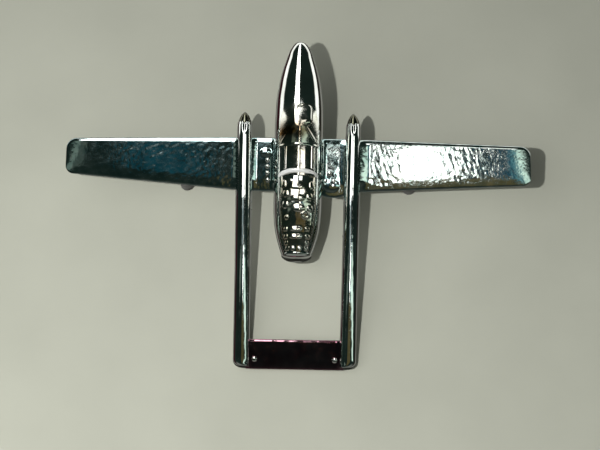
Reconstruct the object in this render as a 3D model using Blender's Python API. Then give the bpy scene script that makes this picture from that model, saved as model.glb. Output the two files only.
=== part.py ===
"""Twin-boom aeroplane hood ornament, built up from separate castings and fasteners.

Everything is modelled in the airframe's own frame: +X towards the right wing tip, +Y towards
the nose, +Z up, with the wing's mid-plane at Z = 0.  Every piece hangs on one empty, the stance,
which pitches the nose up so that the ornament stands on its two posts and its tail.
"""
import math

import bmesh
import bpy
from mathutils import Vector

MM = 0.001

# ---- driving dimensions, in millimetres in the airframe's frame ----
GAP = 0.3                     # clearance between neighbouring pieces
RIVET_GAP = 0.22              # radial clearance round the small rivets

NOSE_Y = 40.5                 # tip of the pod
NOSE_LENGTH = 27.7            # pointed length of the pod
POD_END_Y = -32.6             # open rear end of the pod halves
POD_HALF_WIDTH = 7.9
POD_TOP = 7.4
POD_BOTTOM = -6.6
POD_TAPER_START = -20.0       # behind this the pod narrows
POD_TAPER_POWER = 1.7
POD_END_HALF_WIDTH = 4.75
POD_END_TOP = 5.6
POD_END_BOTTOM = -3.2
POD_WALL = 1.6
CAVITY_FRONT_Y = 30.0
ROOF_WALL = 2.0               # thickness left under the canopy deck

DECK_FRONT_Y = 17.2           # the canopies stand on this flat deck
DECK_Z = 5.6
DECK_SLOPE_START = -8.0
DECK_END_Z = 3.5

CANOPY_REAR_Y = 2.4
SPINE_REAR_Y = -7.4
AFT_CANOPY_REAR_Y = -23.6
TAIL_CAP_END_Y = -34.4

PEG_STATIONS = (9.5, -2.5, -15.6, -27.6)
PEG_RADIUS = 0.8
PEG_LENGTH = 0.9

WING_SPAN = 152.0
WING_ROOT_FRONT = 7.2
WING_ROOT_REAR = -10.8
WING_CENTRE_REAR = -10.9
WING_CENTRE_END_X = 14.7
WING_PANEL_START_X = 20.75
WING_TIP_FRONT = 5.4
WING_TIP_REAR = -6.5
WING_RIGHT_TIP_REAR = -7.8    # the right panel tapers less
WING_HALF_THICKNESS = 1.6
WING_TIP_HALF_THICKNESS = 1.25
WING_POWER = 3.0
WING_THINNING = 0.5           # share of the thickness lost from the front edge to the rear
DIHEDRAL = math.radians(1.5)
TIP_FRONT_RADIUS = 2.6
TIP_REAR_RADIUS = 2.0

BOOM_X = 17.9                 # at the nose; the booms close in towards the tail
BOOM_TAIL_X = 16.95
BOOM_HALF_WIDTH = 2.55
BOOM_FRONT_HALF_WIDTH = 2.3
BOOM_FRONT_Y = 11.9
BOOM_END_Y = -69.1
BOOM_TOP = 3.8
BOOM_BOTTOM = -2.2
BOOM_TAIL_TOP = 2.6
BOOM_TAIL_BOTTOM = -2.6
BOOM_TAIL_HALF_WIDTH = 2.75
CAP_TIP_Y = 15.7
CAP_SPIGOT_RADIUS = 1.1
CAP_SPIGOT_LENGTH = 2.0

TENON_FRONT = 4.5             # wing spar tenon, which runs through the booms
TENON_REAR = -2.5
TENON_HALF_HEIGHT = 0.5
TENON_END_X = 24.5

TAIL_FRONT_Y = -60.0
TAIL_REAR_Y = -69.6
TAIL_HALF_THICKNESS = 1.2
TAIL_TENON_FRONT = -62.4
TAIL_TENON_REAR = -65.4
TAIL_TENON_DEPTH = 3.0
TAIL_END_X = 13.85
TAIL_LUG_INNER_X = 11.6
TAIL_LUG_THICKNESS = 0.9

POST_X = 37.0
POST_Y = -5.0
POST_RADIUS = 2.35
POST_END_Z = -15.1
POST_SPIGOT_RADIUS = 1.2
POST_SPIGOT_LENGTH = 0.8
POST_BORE_RADIUS = 1.35       # drilled for a number 6 machine screw
POST_BORE_DEPTH = 8.0
POST_CHAMFER = 0.25

SCREW_FRONT_Y = 12.6
SCREW_REAR_Y = -15.4
SCREW_RADIUS = 1.0
SCREW_HEAD_RADIUS = 1.9
SCREW_HEAD_HEIGHT = 1.3
SCREW_TOP_Z = 2.0
SLOT_WIDTH = 0.5
SLOT_DEPTH = 0.45
BOSS_RADIUS = 2.2

RIVET_HEAD_RADIUS = 0.8
RIVET_HEAD_HEIGHT = 0.5
RIVET_SHANK_RADIUS = 0.42
WING_LUG_THICKNESS = 1.2
WING_LUG_OUTER_X = 12.8
WING_LUG_FRONT_Y = 1.4
WING_LUG_REAR_Y = -8.4
LEFT_RIVETS = [(-10.1, -0.8), (-10.1, -2.9), (-10.1, -5.0), (-9.9, -7.4)]
RIGHT_RIVETS = [(10.3, -4.9), (9.0, -7.4), (11.6, -7.4)]
TAIL_RIVET_X = 12.8
TAIL_RIVET_Y = -66.6
TAIL_RIVET_HEAD_RADIUS = 1.0
TAIL_RIVET_SEAT_Z = 1.05

AROUND = 32                   # points round a body's section
ROUND = 24                    # sides of a round piece
SMALL_ROUND = 12              # sides of a rivet


# ---- scene and materials ----

def clear_scene():
    for item in list(bpy.data.objects):
        bpy.data.objects.remove(item, do_unlink=True)


def new_collection(name):
    collection = bpy.data.collections.new(name)
    bpy.context.scene.collection.children.link(collection)
    return collection


def principled(name, colour, roughness, metallic):
    material = bpy.data.materials.new(name)
    material.use_nodes = True
    shader = material.node_tree.nodes["Principled BSDF"]
    shader.inputs["Base Color"].default_value = (*colour, 1.0)
    shader.inputs["Roughness"].default_value = roughness
    shader.inputs["Metallic"].default_value = metallic
    return material


# ---- section outlines: closed loops of points, in millimetres ----

def superellipse(angle, half_a, half_b, power):
    c, s = math.cos(angle), math.sin(angle)
    a = math.copysign(abs(c) ** (2.0 / power), c) * half_a
    b = math.copysign(abs(s) ** (2.0 / power), s) * half_b
    return a, b


def section_xz(y, x_low, x_high, z_low, z_high, power=2.0, count=AROUND):
    """Closed section across the aeroplane, at one Y."""
    centre_x, half_x = (x_low + x_high) / 2, (x_high - x_low) / 2
    centre_z, half_z = (z_low + z_high) / 2, (z_high - z_low) / 2
    ring = []
    for i in range(count):
        a, b = superellipse(2 * math.pi * (i + 0.5) / count, half_x, half_z, power)
        ring.append((centre_x + a, y, centre_z + b))
    return ring


def section_yz(x, y_low, y_high, centre_z, half_z, count=32):
    """Closed section of a wing, at one X, thinner towards the rear."""
    centre_y, half_y = (y_low + y_high) / 2, (y_high - y_low) / 2
    ring = []
    for i in range(count):
        a, b = superellipse(2 * math.pi * (i + 0.5) / count, half_y, half_z, WING_POWER)
        ring.append((x, centre_y + a, centre_z + b * (1 - WING_THINNING * (half_y - a) / (2 * half_y))))
    return ring


def section_arch(y, half_width, z_low, z_high, power=2.0, count=18):
    """An arch with a flat foot, at one Y."""
    ring = []
    for i in range(count + 1):
        a, b = superellipse(math.pi * i / count, half_width, z_high - z_low, power)
        ring.append((a, y, z_low + abs(b)))
    return ring


def section_box(y, x_low, x_high, z_low, z_high):
    return [(x_high, y, z_low), (x_high, y, z_high), (x_low, y, z_high), (x_low, y, z_low)]


# ---- solids ----

def finish_mesh(mesh_builder, name, collection, material=None, smooth=True):
    bmesh.ops.recalc_face_normals(mesh_builder, faces=mesh_builder.faces)
    mesh = bpy.data.meshes.new(name)
    mesh_builder.to_mesh(mesh)
    mesh_builder.free()
    if smooth:
        mesh.shade_smooth()
        mesh.set_sharp_from_angle(angle=math.radians(35))
    item = bpy.data.objects.new(name, mesh)
    item.parent = stance
    collection.objects.link(item)
    if material:
        mesh.materials.append(material)
    else:
        item.hide_render = True
        item.display_type = "WIRE"
    return item


def loft(name, rings, collection, material=None):
    """A closed solid through unlike sections, with a flat cap at each end."""
    builder = bmesh.new()
    loops = [[builder.verts.new(Vector(point) * MM) for point in ring] for ring in rings]
    for low, high in zip(loops, loops[1:]):
        for i in range(len(low)):
            j = (i + 1) % len(low)
            builder.faces.new((low[i], low[j], high[j], high[i]))
    builder.faces.new(loops[0])
    builder.faces.new(loops[-1])
    return finish_mesh(builder, name, collection, material)


def cylinder(name, centre, radius, height, collection, material=None,
             sides=ROUND, top_radius=None):
    """A round bar along Z whose foot is at centre."""
    builder = bmesh.new()
    top = radius if top_radius is None else top_radius
    bmesh.ops.create_cone(builder, cap_ends=True, segments=sides, radius1=radius * MM,
                          radius2=top * MM, depth=height * MM)
    x, y, z = centre
    bmesh.ops.translate(builder, verts=builder.verts, vec=Vector((x, y, z + height / 2)) * MM)
    return finish_mesh(builder, name, collection, material)


def box(name, low, high, collection, material=None):
    builder = bmesh.new()
    bmesh.ops.create_cube(builder, size=1.0)
    size = Vector(high) - Vector(low)
    bmesh.ops.scale(builder, verts=builder.verts, vec=size * MM)
    middle = (Vector(high) + Vector(low)) / 2
    bmesh.ops.translate(builder, verts=builder.verts, vec=middle * MM)
    return finish_mesh(builder, name, collection, material, smooth=False)


def turned(name, centre, profile, collection, material=None, sides=ROUND):
    """A turned solid about a vertical axis: profile runs down the outer side, (radius, height)."""
    builder = bmesh.new()
    loops = []
    for radius, height in profile:
        loop = []
        for i in range(sides):
            angle = 2 * math.pi * i / sides
            offset = Vector((radius * math.cos(angle), radius * math.sin(angle), height))
            loop.append(builder.verts.new((Vector(centre) + offset) * MM))
        loops.append(loop)
    for low, high in zip(loops, loops[1:]):
        for i in range(sides):
            j = (i + 1) % sides
            builder.faces.new((low[i], low[j], high[j], high[i]))
    builder.faces.new(loops[0])
    builder.faces.new(loops[-1])
    return finish_mesh(builder, name, collection, material)


def combine(item, other, operation):
    modifier = item.modifiers.new(operation.title() + " " + other.name, "BOOLEAN")
    modifier.operation = operation
    modifier.object = other


def cut(item, *cutter_list):
    for other in cutter_list:
        combine(item, other, "DIFFERENCE")


def join(item, *other_list):
    for other in other_list:
        combine(item, other, "UNION")


# ---- the pod's shape ----

def nose_growth(t):
    """Fraction of full size at a fraction t of the nose's length."""
    t = min(max(t, 0.0), 1.0)
    return (1.0 - (1.0 - t) ** 1.8) ** 0.6


def blend(start, end, t):
    t = min(max(t, 0.0), 1.0)
    return start + (end - start) * t


def pod_size(y):
    """Half width, top and bottom of the pod at one Y."""
    if y > NOSE_Y - NOSE_LENGTH:
        grow = nose_growth((NOSE_Y - y) / NOSE_LENGTH)
        centre = (POD_TOP + POD_BOTTOM) / 2
        half = (POD_TOP - POD_BOTTOM) / 2
        return POD_HALF_WIDTH * grow, centre + half * grow, centre - half * grow
    t = (POD_TAPER_START - y) / (POD_TAPER_START - POD_END_Y)
    ease = min(max(t, 0.0), 1.0) ** POD_TAPER_POWER
    return (blend(POD_HALF_WIDTH, POD_END_HALF_WIDTH, ease),
            blend(POD_TOP, POD_END_TOP, ease),
            blend(POD_BOTTOM, POD_END_BOTTOM, ease))


def deck_z(y):
    t = (DECK_SLOPE_START - y) / (DECK_SLOPE_START - POD_END_Y)
    return blend(DECK_Z, DECK_END_Z, t)


def pod_section(y, shrink=0.0):
    half_width, top, bottom = pod_size(y)
    return section_xz(y, -half_width + shrink, half_width - shrink, bottom + shrink, top - shrink)


def pod_stations():
    steps = [0.04, 0.5, 1.4, 3.0, 5.2, 8.0, 11.5, 15.5, 20.5, NOSE_LENGTH]
    front = [NOSE_Y - step for step in steps]
    rear = [POD_TAPER_START - (POD_TAPER_START - POD_END_Y) * k / 5 for k in range(6)]
    return front + [0.0] + rear


def pod_outer(name, collection, material=None):
    return loft(name, [pod_section(y) for y in pod_stations()], collection, material)


def pod_cavity(name, collection):
    rings = []
    for y in [CAVITY_FRONT_Y, 27.0, 23.0, DECK_FRONT_Y, 12.0, 0.0, DECK_SLOPE_START, -19.0,
              -25.5, -34.0]:
        half_width, top, bottom = pod_size(y)
        roof = min(top - POD_WALL, deck_z(y) - ROOF_WALL)
        rings.append(section_xz(y, -half_width + POD_WALL, half_width - POD_WALL,
                                bottom + POD_WALL, roof))
    return loft(name, rings, collection)


# ---- the wing's shape ----

def wing_plan(x):
    """Front, rear and half thickness of the wing at one X, which is positive on the right."""
    if abs(x) < WING_CENTRE_END_X:
        return WING_ROOT_FRONT, WING_CENTRE_REAR, WING_HALF_THICKNESS
    t = (abs(x) - BOOM_X) / (WING_SPAN / 2 - BOOM_X)
    tip_rear = WING_RIGHT_TIP_REAR if x > 0 else WING_TIP_REAR
    return (blend(WING_ROOT_FRONT, WING_TIP_FRONT, t),
            blend(WING_ROOT_REAR, tip_rear, t),
            blend(WING_HALF_THICKNESS, WING_TIP_HALF_THICKNESS, t))


def wing_rise(x):
    return max(0.0, x - BOOM_X) * math.tan(DIHEDRAL)


def wing_half_at(x, y):
    """Half the wing's thickness at one point of its plan."""
    front, rear, half = wing_plan(x)
    across = abs(2 * y - front - rear) / (front - rear)
    rounding = (1 - across ** WING_POWER) ** (1 / WING_POWER)
    return half * rounding * (1 - WING_THINNING * (front - y) / (front - rear))


def corner_inset(distance, radius):
    """How far a rounded corner pulls the edge in, at a distance from the tip."""
    if distance >= radius:
        return 0.0
    return radius - math.sqrt(max(radius ** 2 - (radius - distance) ** 2, 0.0))


def build_wing_panel(name, side, collection, material):
    tip = WING_SPAN / 2
    stations = [WING_PANEL_START_X, 38.0, 56.0, tip - TIP_FRONT_RADIUS]
    stations += [tip - TIP_FRONT_RADIUS * s for s in (0.6, 0.3, 0.1, 0.0)]
    rings = []
    for x in stations:
        front, rear, half = wing_plan(side * x)
        distance = tip - x
        front -= corner_inset(distance, TIP_FRONT_RADIUS)
        rear += corner_inset(distance, TIP_REAR_RADIUS)
        half *= 1.0 - 0.35 * corner_inset(distance, TIP_FRONT_RADIUS) / TIP_FRONT_RADIUS
        rise = wing_rise(x)
        rings.append(section_yz(side * x, rear, front, rise, half))
    return loft(name, rings, collection, material)


# ---- pieces ----

def build_pod(parts, cutters, chrome):
    cavity = pod_cavity("pod_cavity", cutters)
    above = box("above_split", (-20, -50, GAP / 2), (20, 50, 20), cutters)
    below = box("below_split", (-20, -50, -20), (20, 50, -GAP / 2), cutters)
    wing_slot = box("wing_slot", (-20, WING_CENTRE_REAR - GAP, -WING_HALF_THICKNESS - GAP),
                    (20, WING_ROOT_FRONT + GAP, WING_HALF_THICKNESS + GAP), cutters)
    deck_cut = loft("deck_cut", [section_box(y, -12, 12, deck_z(y), 14)
                                 for y in (DECK_FRONT_Y, DECK_SLOPE_START, POD_END_Y - 2)], cutters)

    upper = pod_outer("pod_upper", parts, chrome)
    combine(upper, above, "INTERSECT")
    cut(upper, cavity)
    lower = pod_outer("pod_lower", parts, chrome)
    combine(lower, below, "INTERSECT")
    cut(lower, cavity)

    for label, y in (("front", SCREW_FRONT_Y), ("rear", SCREW_REAR_Y)):
        floor_z = pod_size(y)[2]
        hole_radius = SCREW_RADIUS + GAP
        join(upper, cylinder("upper_boss_" + label, (0, y, GAP / 2), BOSS_RADIUS,
                             deck_z(y) - 0.6 - GAP / 2, cutters))
        cut(upper, cylinder("upper_hole_" + label, (0, y, -1), hole_radius,
                            SCREW_TOP_Z + GAP + 1, cutters))
        join(lower, cylinder("lower_boss_" + label, (0, y, floor_z + 0.5), BOSS_RADIUS,
                             -GAP / 2 - floor_z - 0.5, cutters))
        cut(lower, cylinder("lower_hole_" + label, (0, y, floor_z - 1), hole_radius,
                            -floor_z + 2, cutters),
            cylinder("head_sink_" + label, (0, y, floor_z - 1), SCREW_HEAD_RADIUS + GAP,
                     1 + SCREW_HEAD_HEIGHT + GAP, cutters))
    cut(upper, wing_slot, deck_cut)
    for index, y in enumerate(PEG_STATIONS):
        cut(upper, cylinder(f"peg_hole_{index}", (0, y, deck_z(y) - PEG_LENGTH - GAP),
                            PEG_RADIUS + GAP, PEG_LENGTH + 2, cutters, sides=16))
    for side, label in ((-1, "left"), (1, "right")):
        x_low, x_high = sorted((side * 5.6, side * WING_LUG_OUTER_X))
        lug_top = -WING_HALF_THICKNESS - GAP
        join(lower, box("wing_lug_" + label, (x_low, WING_LUG_REAR_Y, lug_top - WING_LUG_THICKNESS),
                        (x_high, WING_LUG_FRONT_Y, lug_top), cutters))
    cut(lower, wing_slot)
    for cutter in rivet_cutters(cutters):
        cut(lower, cutter)


def add_peg(item, y, cutters):
    join(item, cylinder("peg_" + item.name, (0, y, deck_z(y) - PEG_LENGTH), PEG_RADIUS,
                        PEG_LENGTH + GAP + 0.8, cutters, sides=16))


def build_canopies(parts, cutters, chrome):
    def foot(y):
        return deck_z(y) + GAP

    def flush(y):
        """Half width of the pod at the height of the canopy's foot."""
        half_width, top, bottom = pod_size(y)
        centre, half = (top + bottom) / 2, (top - bottom) / 2
        ratio = min((foot(y) - centre) / half, 0.98)
        return half_width * math.sqrt(1 - ratio ** 2)

    front = DECK_FRONT_Y - GAP
    dome = [(front, 7.2), (15.8, 7.7), (13.8, 8.6), (11.2, 9.1), (8.2, 9.1), (5.2, 8.7),
            (CANOPY_REAR_Y + GAP / 2, 8.1)]
    canopy = loft("cockpit_canopy", [section_arch(y, flush(y), foot(y), top)
                                     for y, top in dome], parts, chrome)
    add_peg(canopy, PEG_STATIONS[0], cutters)

    spine = [(CANOPY_REAR_Y - GAP / 2, 8.1), (0.0, 8.1), (-5.0, 8.0), (-5.4, 8.4), (-6.0, 8.7),
             (-6.7, 8.6), (SPINE_REAR_Y + GAP / 2, 8.2)]
    fairing = loft("spine_fairing", [section_arch(y, flush(y), foot(y), top, 2.3)
                                     for y, top in spine], parts, chrome)
    add_peg(fairing, PEG_STATIONS[1], cutters)

    aft = [(SPINE_REAR_Y - GAP / 2, 6.8), (-9.0, 7.1), (-12.0, 8.1), (-15.0, 8.2), (-19.5, 7.8),
           (AFT_CANOPY_REAR_Y + GAP / 2, 7.3)]
    aft_canopy = loft("aft_canopy", [section_arch(y, flush(y) - 0.3, foot(y), top, 2.4)
                                     for y, top in aft], parts, chrome)
    add_peg(aft_canopy, PEG_STATIONS[2], cutters)

    rear = [(AFT_CANOPY_REAR_Y - GAP / 2, 7.2), (-27.0, 6.9), (-30.0, 6.4),
            (POD_END_Y + GAP / 2, 5.7)]
    window_frame = loft("tail_window_frame", [section_arch(y, flush(y) - 0.3, foot(y), top, 2.6)
                                              for y, top in rear], parts, chrome)
    add_peg(window_frame, PEG_STATIONS[3], cutters)


def build_tail_cap(parts, cutters, chrome):
    front = POD_END_Y - GAP
    half_width, top, bottom = pod_size(POD_END_Y)
    steps = [(front, 0.0), (front - 0.6, 0.1), (front - 1.1, 0.6), (TAIL_CAP_END_Y, 1.5)]
    cap = loft("tail_cap", [section_xz(y, -half_width + inset, half_width - inset,
                                       bottom + inset, top - inset, 2.3) for y, inset in steps],
               parts, chrome)
    inset = POD_WALL + 2 * GAP
    roof = deck_z(POD_END_Y) - ROOF_WALL - GAP
    spigot = loft("cap_spigot", [section_xz(y, -half_width + inset, half_width - inset,
                                            bottom + inset, roof)
                                 for y in (front + 1.8, front - 0.6)], cutters)
    join(cap, spigot)


def build_wing_centre(parts, cutters, chrome):
    end_x = WING_CENTRE_END_X
    rings = [section_yz(x, WING_CENTRE_REAR, WING_ROOT_FRONT, 0.0, WING_HALF_THICKNESS)
             for x in (-end_x, -end_x / 2, end_x / 2, end_x)]
    wing = loft("wing_center", rings, parts, chrome)
    join(wing, box("spar_tenon", (-TENON_END_X, TENON_REAR, -TENON_HALF_HEIGHT),
                   (TENON_END_X, TENON_FRONT, TENON_HALF_HEIGHT), cutters))
    for cutter in rivet_cutters(cutters):
        cut(wing, cutter)


def build_wing_panels(parts, cutters, chrome):
    mortise = box("spar_mortise",
                  (-TENON_END_X - GAP, TENON_REAR - GAP, -TENON_HALF_HEIGHT - GAP),
                  (TENON_END_X + GAP, TENON_FRONT + GAP, TENON_HALF_HEIGHT + GAP), cutters)
    for side, label in ((-1, "left"), (1, "right")):
        panel = build_wing_panel("wing_" + label, side, parts, chrome)
        hole_top = post_shoulder_z() + POST_SPIGOT_LENGTH + 2 * GAP
        cut(panel, mortise,
            cylinder("post_hole_" + label, (side * POST_X, POST_Y, -4), POST_SPIGOT_RADIUS + GAP,
                     hole_top + 4, cutters))
    return mortise


def post_shoulder_z():
    return wing_rise(POST_X) - wing_half_at(POST_X, POST_Y + POST_RADIUS) - GAP


def boom_x(y):
    """Distance of a boom's middle from the centreline."""
    return blend(BOOM_X, BOOM_TAIL_X, (CAP_TIP_Y - y) / (CAP_TIP_Y - BOOM_END_Y))


def boom_section(side, y, half_width, low, high, outer_inset=0.0, power=2.4):
    inner, outer = boom_x(y) - half_width, boom_x(y) + half_width - outer_inset
    x_low, x_high = sorted((side * inner, side * outer))
    return section_xz(y, x_low, x_high, low, high, power)


def build_booms(parts, cutters, chrome, mortise):
    for side, label in ((-1, "left"), (1, "right")):
        rings = [
            boom_section(side, BOOM_FRONT_Y, BOOM_FRONT_HALF_WIDTH - 0.15, -1.65, 3.25, 0, 2.0),
            boom_section(side, BOOM_FRONT_Y - 0.5, BOOM_FRONT_HALF_WIDTH, -1.85, 3.45, 0, 2.0),
            boom_section(side, 7.0, BOOM_HALF_WIDTH, BOOM_BOTTOM, BOOM_TOP),
            boom_section(side, -12.0, BOOM_HALF_WIDTH, BOOM_BOTTOM, BOOM_TOP),
            boom_section(side, -30.0, BOOM_HALF_WIDTH, -2.3, 3.3),
            boom_section(side, TAIL_FRONT_Y, BOOM_TAIL_HALF_WIDTH,
                         BOOM_TAIL_BOTTOM, BOOM_TAIL_TOP),
            boom_section(side, BOOM_END_Y + 1.8, BOOM_TAIL_HALF_WIDTH,
                         BOOM_TAIL_BOTTOM, BOOM_TAIL_TOP),
            boom_section(side, BOOM_END_Y + 0.9, BOOM_TAIL_HALF_WIDTH, -2.5, 2.5, 0.25),
            boom_section(side, BOOM_END_Y + 0.25, BOOM_TAIL_HALF_WIDTH, -2.2, 2.2, 0.85),
            boom_section(side, BOOM_END_Y, BOOM_TAIL_HALF_WIDTH, -1.8, 1.8, 1.5),
        ]
        boom = loft("boom_" + label, rings, parts, chrome)
        x_low, x_high = sorted((side * TAIL_LUG_INNER_X, side * BOOM_TAIL_X))
        lug_top = -TAIL_HALF_THICKNESS - GAP
        join(boom, box("tail_lug_" + label, (x_low, BOOM_END_Y + 0.8, lug_top - TAIL_LUG_THICKNESS),
                       (x_high, TAIL_FRONT_Y - 1.6, lug_top), cutters))
        x_low, x_high = sorted((side * (TAIL_END_X - 1),
                                side * (TAIL_END_X + TAIL_TENON_DEPTH + GAP)))
        tail_mortise = box("tail_mortise_" + label,
                           (x_low, TAIL_TENON_REAR - GAP, -TENON_HALF_HEIGHT - GAP),
                           (x_high, TAIL_TENON_FRONT + GAP, TENON_HALF_HEIGHT + GAP), cutters)
        cap_hole = spigot_along_y("cap_hole_" + label, side * boom_x(BOOM_FRONT_Y),
                                  BOOM_FRONT_Y - CAP_SPIGOT_LENGTH - GAP, BOOM_FRONT_Y + 1,
                                  CAP_SPIGOT_RADIUS + GAP, cutters)
        rivet_hole = cylinder("tail_rivet_hole_" + label, (side * TAIL_RIVET_X, TAIL_RIVET_Y, -4),
                              RIVET_SHANK_RADIUS + RIVET_GAP, 8, cutters, sides=SMALL_ROUND)
        cut(boom, mortise, tail_mortise, cap_hole, rivet_hole)
        build_boom_cap(side, label, parts, cutters, chrome)


def spigot_along_y(name, x, y_low, y_high, radius, collection):
    centre_z = (BOOM_TOP + BOOM_BOTTOM) / 2
    rings = [section_xz(y, x - radius, x + radius, centre_z - radius, centre_z + radius, 2.0, 16)
             for y in (y_low, y_high)]
    return loft(name, rings, collection)


def build_boom_cap(side, label, parts, cutters, chrome):
    centre_z = (BOOM_TOP + BOOM_BOTTOM) / 2
    root_y = BOOM_FRONT_Y + GAP
    length = CAP_TIP_Y - root_y
    middle_x = side * boom_x(root_y)
    rings = []
    for t in (0.0, 0.18, 0.4, 0.62, 0.8, 0.92, 0.98, 1.0):
        grow = math.sqrt(max(1.0 - t ** 2.2, 0.004))
        half_width = (BOOM_FRONT_HALF_WIDTH - 0.2) * grow
        half_height = 2.35 * grow
        rings.append(section_xz(root_y + t * length, middle_x - half_width,
                                middle_x + half_width, centre_z - half_height,
                                centre_z + half_height, 2.0, ROUND))
    cap = loft("boom_cap_" + label, rings, parts, chrome)
    join(cap, spigot_along_y("cap_spigot_" + label, middle_x,
                             root_y - CAP_SPIGOT_LENGTH, root_y + 0.8, CAP_SPIGOT_RADIUS, cutters))


def build_tailplane(parts, cutters, chrome):
    end_x = TAIL_END_X
    rings = [section_yz(x, TAIL_REAR_Y, TAIL_FRONT_Y, 0.0, TAIL_HALF_THICKNESS)
             for x in (-end_x, -end_x / 2, end_x / 2, end_x)]
    tail = loft("tailplane", rings, parts, chrome)
    reach = end_x + TAIL_TENON_DEPTH
    join(tail, box("tail_tenon", (-reach, TAIL_TENON_REAR, -TENON_HALF_HEIGHT),
                   (reach, TAIL_TENON_FRONT, TENON_HALF_HEIGHT), cutters))
    for side, label in ((-1, "left"), (1, "right")):
        cut(tail, cylinder("tailplane_hole_" + label, (side * TAIL_RIVET_X, TAIL_RIVET_Y, -4),
                           RIVET_SHANK_RADIUS + RIVET_GAP, 8, cutters, sides=SMALL_ROUND))


def build_posts(parts, cutters, steel):
    for side, label in ((-1, "left"), (1, "right")):
        shoulder = post_shoulder_z()
        profile = [(POST_SPIGOT_RADIUS, shoulder + POST_SPIGOT_LENGTH),
                   (POST_SPIGOT_RADIUS, shoulder), (POST_RADIUS, shoulder),
                   (POST_RADIUS, POST_END_Z + POST_CHAMFER),
                   (POST_RADIUS - POST_CHAMFER, POST_END_Z)]
        post = turned("post_" + label, (side * POST_X, POST_Y, 0), profile, parts, steel)
        cut(post, cylinder("post_bore_" + label, (side * POST_X, POST_Y, POST_END_Z - 1),
                           POST_BORE_RADIUS, POST_BORE_DEPTH + 1, cutters))


def build_screws(parts, cutters, steel):
    for label, y in (("front", SCREW_FRONT_Y), ("rear", SCREW_REAR_Y)):
        foot = pod_size(y)[2] + 0.15
        profile = [(SCREW_RADIUS, SCREW_TOP_Z), (SCREW_RADIUS, foot + SCREW_HEAD_HEIGHT),
                   (SCREW_HEAD_RADIUS, foot + 0.35), (SCREW_HEAD_RADIUS, foot)]
        screw = turned("belly_screw_" + label, (0, y, 0), profile, parts, steel)
        cut(screw, box("screw_slot_" + label, (-3, y - SLOT_WIDTH / 2, foot - 1),
                       (3, y + SLOT_WIDTH / 2, foot + SLOT_DEPTH), cutters))


def rivet_cutters(cutters):
    made = []
    for x, y in LEFT_RIVETS + RIGHT_RIVETS:
        made.append(cylinder("rivet_hole", (x, y, -4), RIVET_SHANK_RADIUS + RIVET_GAP, 8,
                             cutters, sides=SMALL_ROUND))
    return made


def rivet(name, x, y, seat_z, foot_z, head_radius, parts, material):
    """A dome-headed rivet standing on seat_z, with its shank down to foot_z."""
    steps = 4
    profile = []
    for i in range(steps):
        angle = math.radians(82 - 82 * i / (steps - 1))
        profile.append((head_radius * math.cos(angle), seat_z + RIVET_HEAD_HEIGHT * math.sin(angle)))
    profile += [(RIVET_SHANK_RADIUS, seat_z), (RIVET_SHANK_RADIUS, foot_z)]
    return turned(name, (x, y, 0), profile, parts, material, SMALL_ROUND)


def build_rivets(parts, steel):
    foot = -WING_HALF_THICKNESS - GAP - WING_LUG_THICKNESS
    for label, places in (("left", LEFT_RIVETS), ("right", RIGHT_RIVETS)):
        for index, (x, y) in enumerate(places, start=1):
            seat = wing_half_at(x, y + RIVET_HEAD_RADIUS) + RIVET_GAP
            rivet(f"wing_rivet_{label}_{index}", x, y, seat, foot, RIVET_HEAD_RADIUS, parts, steel)
    seat = TAIL_RIVET_SEAT_Z
    foot = -TAIL_HALF_THICKNESS - GAP - TAIL_LUG_THICKNESS
    for side, label in ((-1, "left"), (1, "right")):
        rivet("tail_rivet_" + label, side * TAIL_RIVET_X, TAIL_RIVET_Y, seat, foot,
              TAIL_RIVET_HEAD_RADIUS, parts, steel)


# ---- stance ----

def stance_pitch():
    """Nose-up angle at which the posts' rear edges and the booms' tails share one plane."""
    post_y = POST_Y - POST_RADIUS + POST_CHAMFER
    tail_y = BOOM_END_Y + 1.8
    return math.atan2(BOOM_TAIL_BOTTOM - POST_END_Z, post_y - tail_y)


def settle(parts):
    """Pitch the stance, then put the middle of the bounding box's foot at the origin."""
    stance.rotation_euler = (stance_pitch(), 0.0, 0.0)
    bpy.context.view_layer.update()
    graph = bpy.context.evaluated_depsgraph_get()
    points = []
    for item in parts.objects:
        if item.type != "MESH":
            continue
        shaped = item.evaluated_get(graph)
        points += [shaped.matrix_world @ vertex.co for vertex in shaped.data.vertices]
    low = [min(point[axis] for point in points) for axis in range(3)]
    high = [max(point[axis] for point in points) for axis in range(3)]
    stance.location = (-(low[0] + high[0]) / 2, -(low[1] + high[1]) / 2, -low[2])
    bpy.context.view_layer.update()


clear_scene()
part_collection = new_collection("twin_boom_hood_ornament")
cutter_collection = new_collection("cutters")
stance = bpy.data.objects.new("stance", None)
part_collection.objects.link(stance)

chrome_plate = principled("chrome_plate", (0.72, 0.74, 0.73), 0.08, 1.0)
steel_plate = principled("plated_steel", (0.62, 0.62, 0.6), 0.25, 1.0)

build_pod(part_collection, cutter_collection, chrome_plate)
build_canopies(part_collection, cutter_collection, chrome_plate)
build_tail_cap(part_collection, cutter_collection, chrome_plate)
build_wing_centre(part_collection, cutter_collection, chrome_plate)
shared_mortise = build_wing_panels(part_collection, cutter_collection, chrome_plate)
build_booms(part_collection, cutter_collection, chrome_plate, shared_mortise)
build_tailplane(part_collection, cutter_collection, chrome_plate)
build_posts(part_collection, cutter_collection, steel_plate)
build_screws(part_collection, cutter_collection, steel_plate)
build_rivets(part_collection, steel_plate)
settle(part_collection)
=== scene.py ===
"""Looks for the twin-boom hood ornament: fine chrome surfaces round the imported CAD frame."""
import math

import bmesh
import bpy
import numpy as np
from mathutils import Euler, Matrix, Vector


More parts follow.
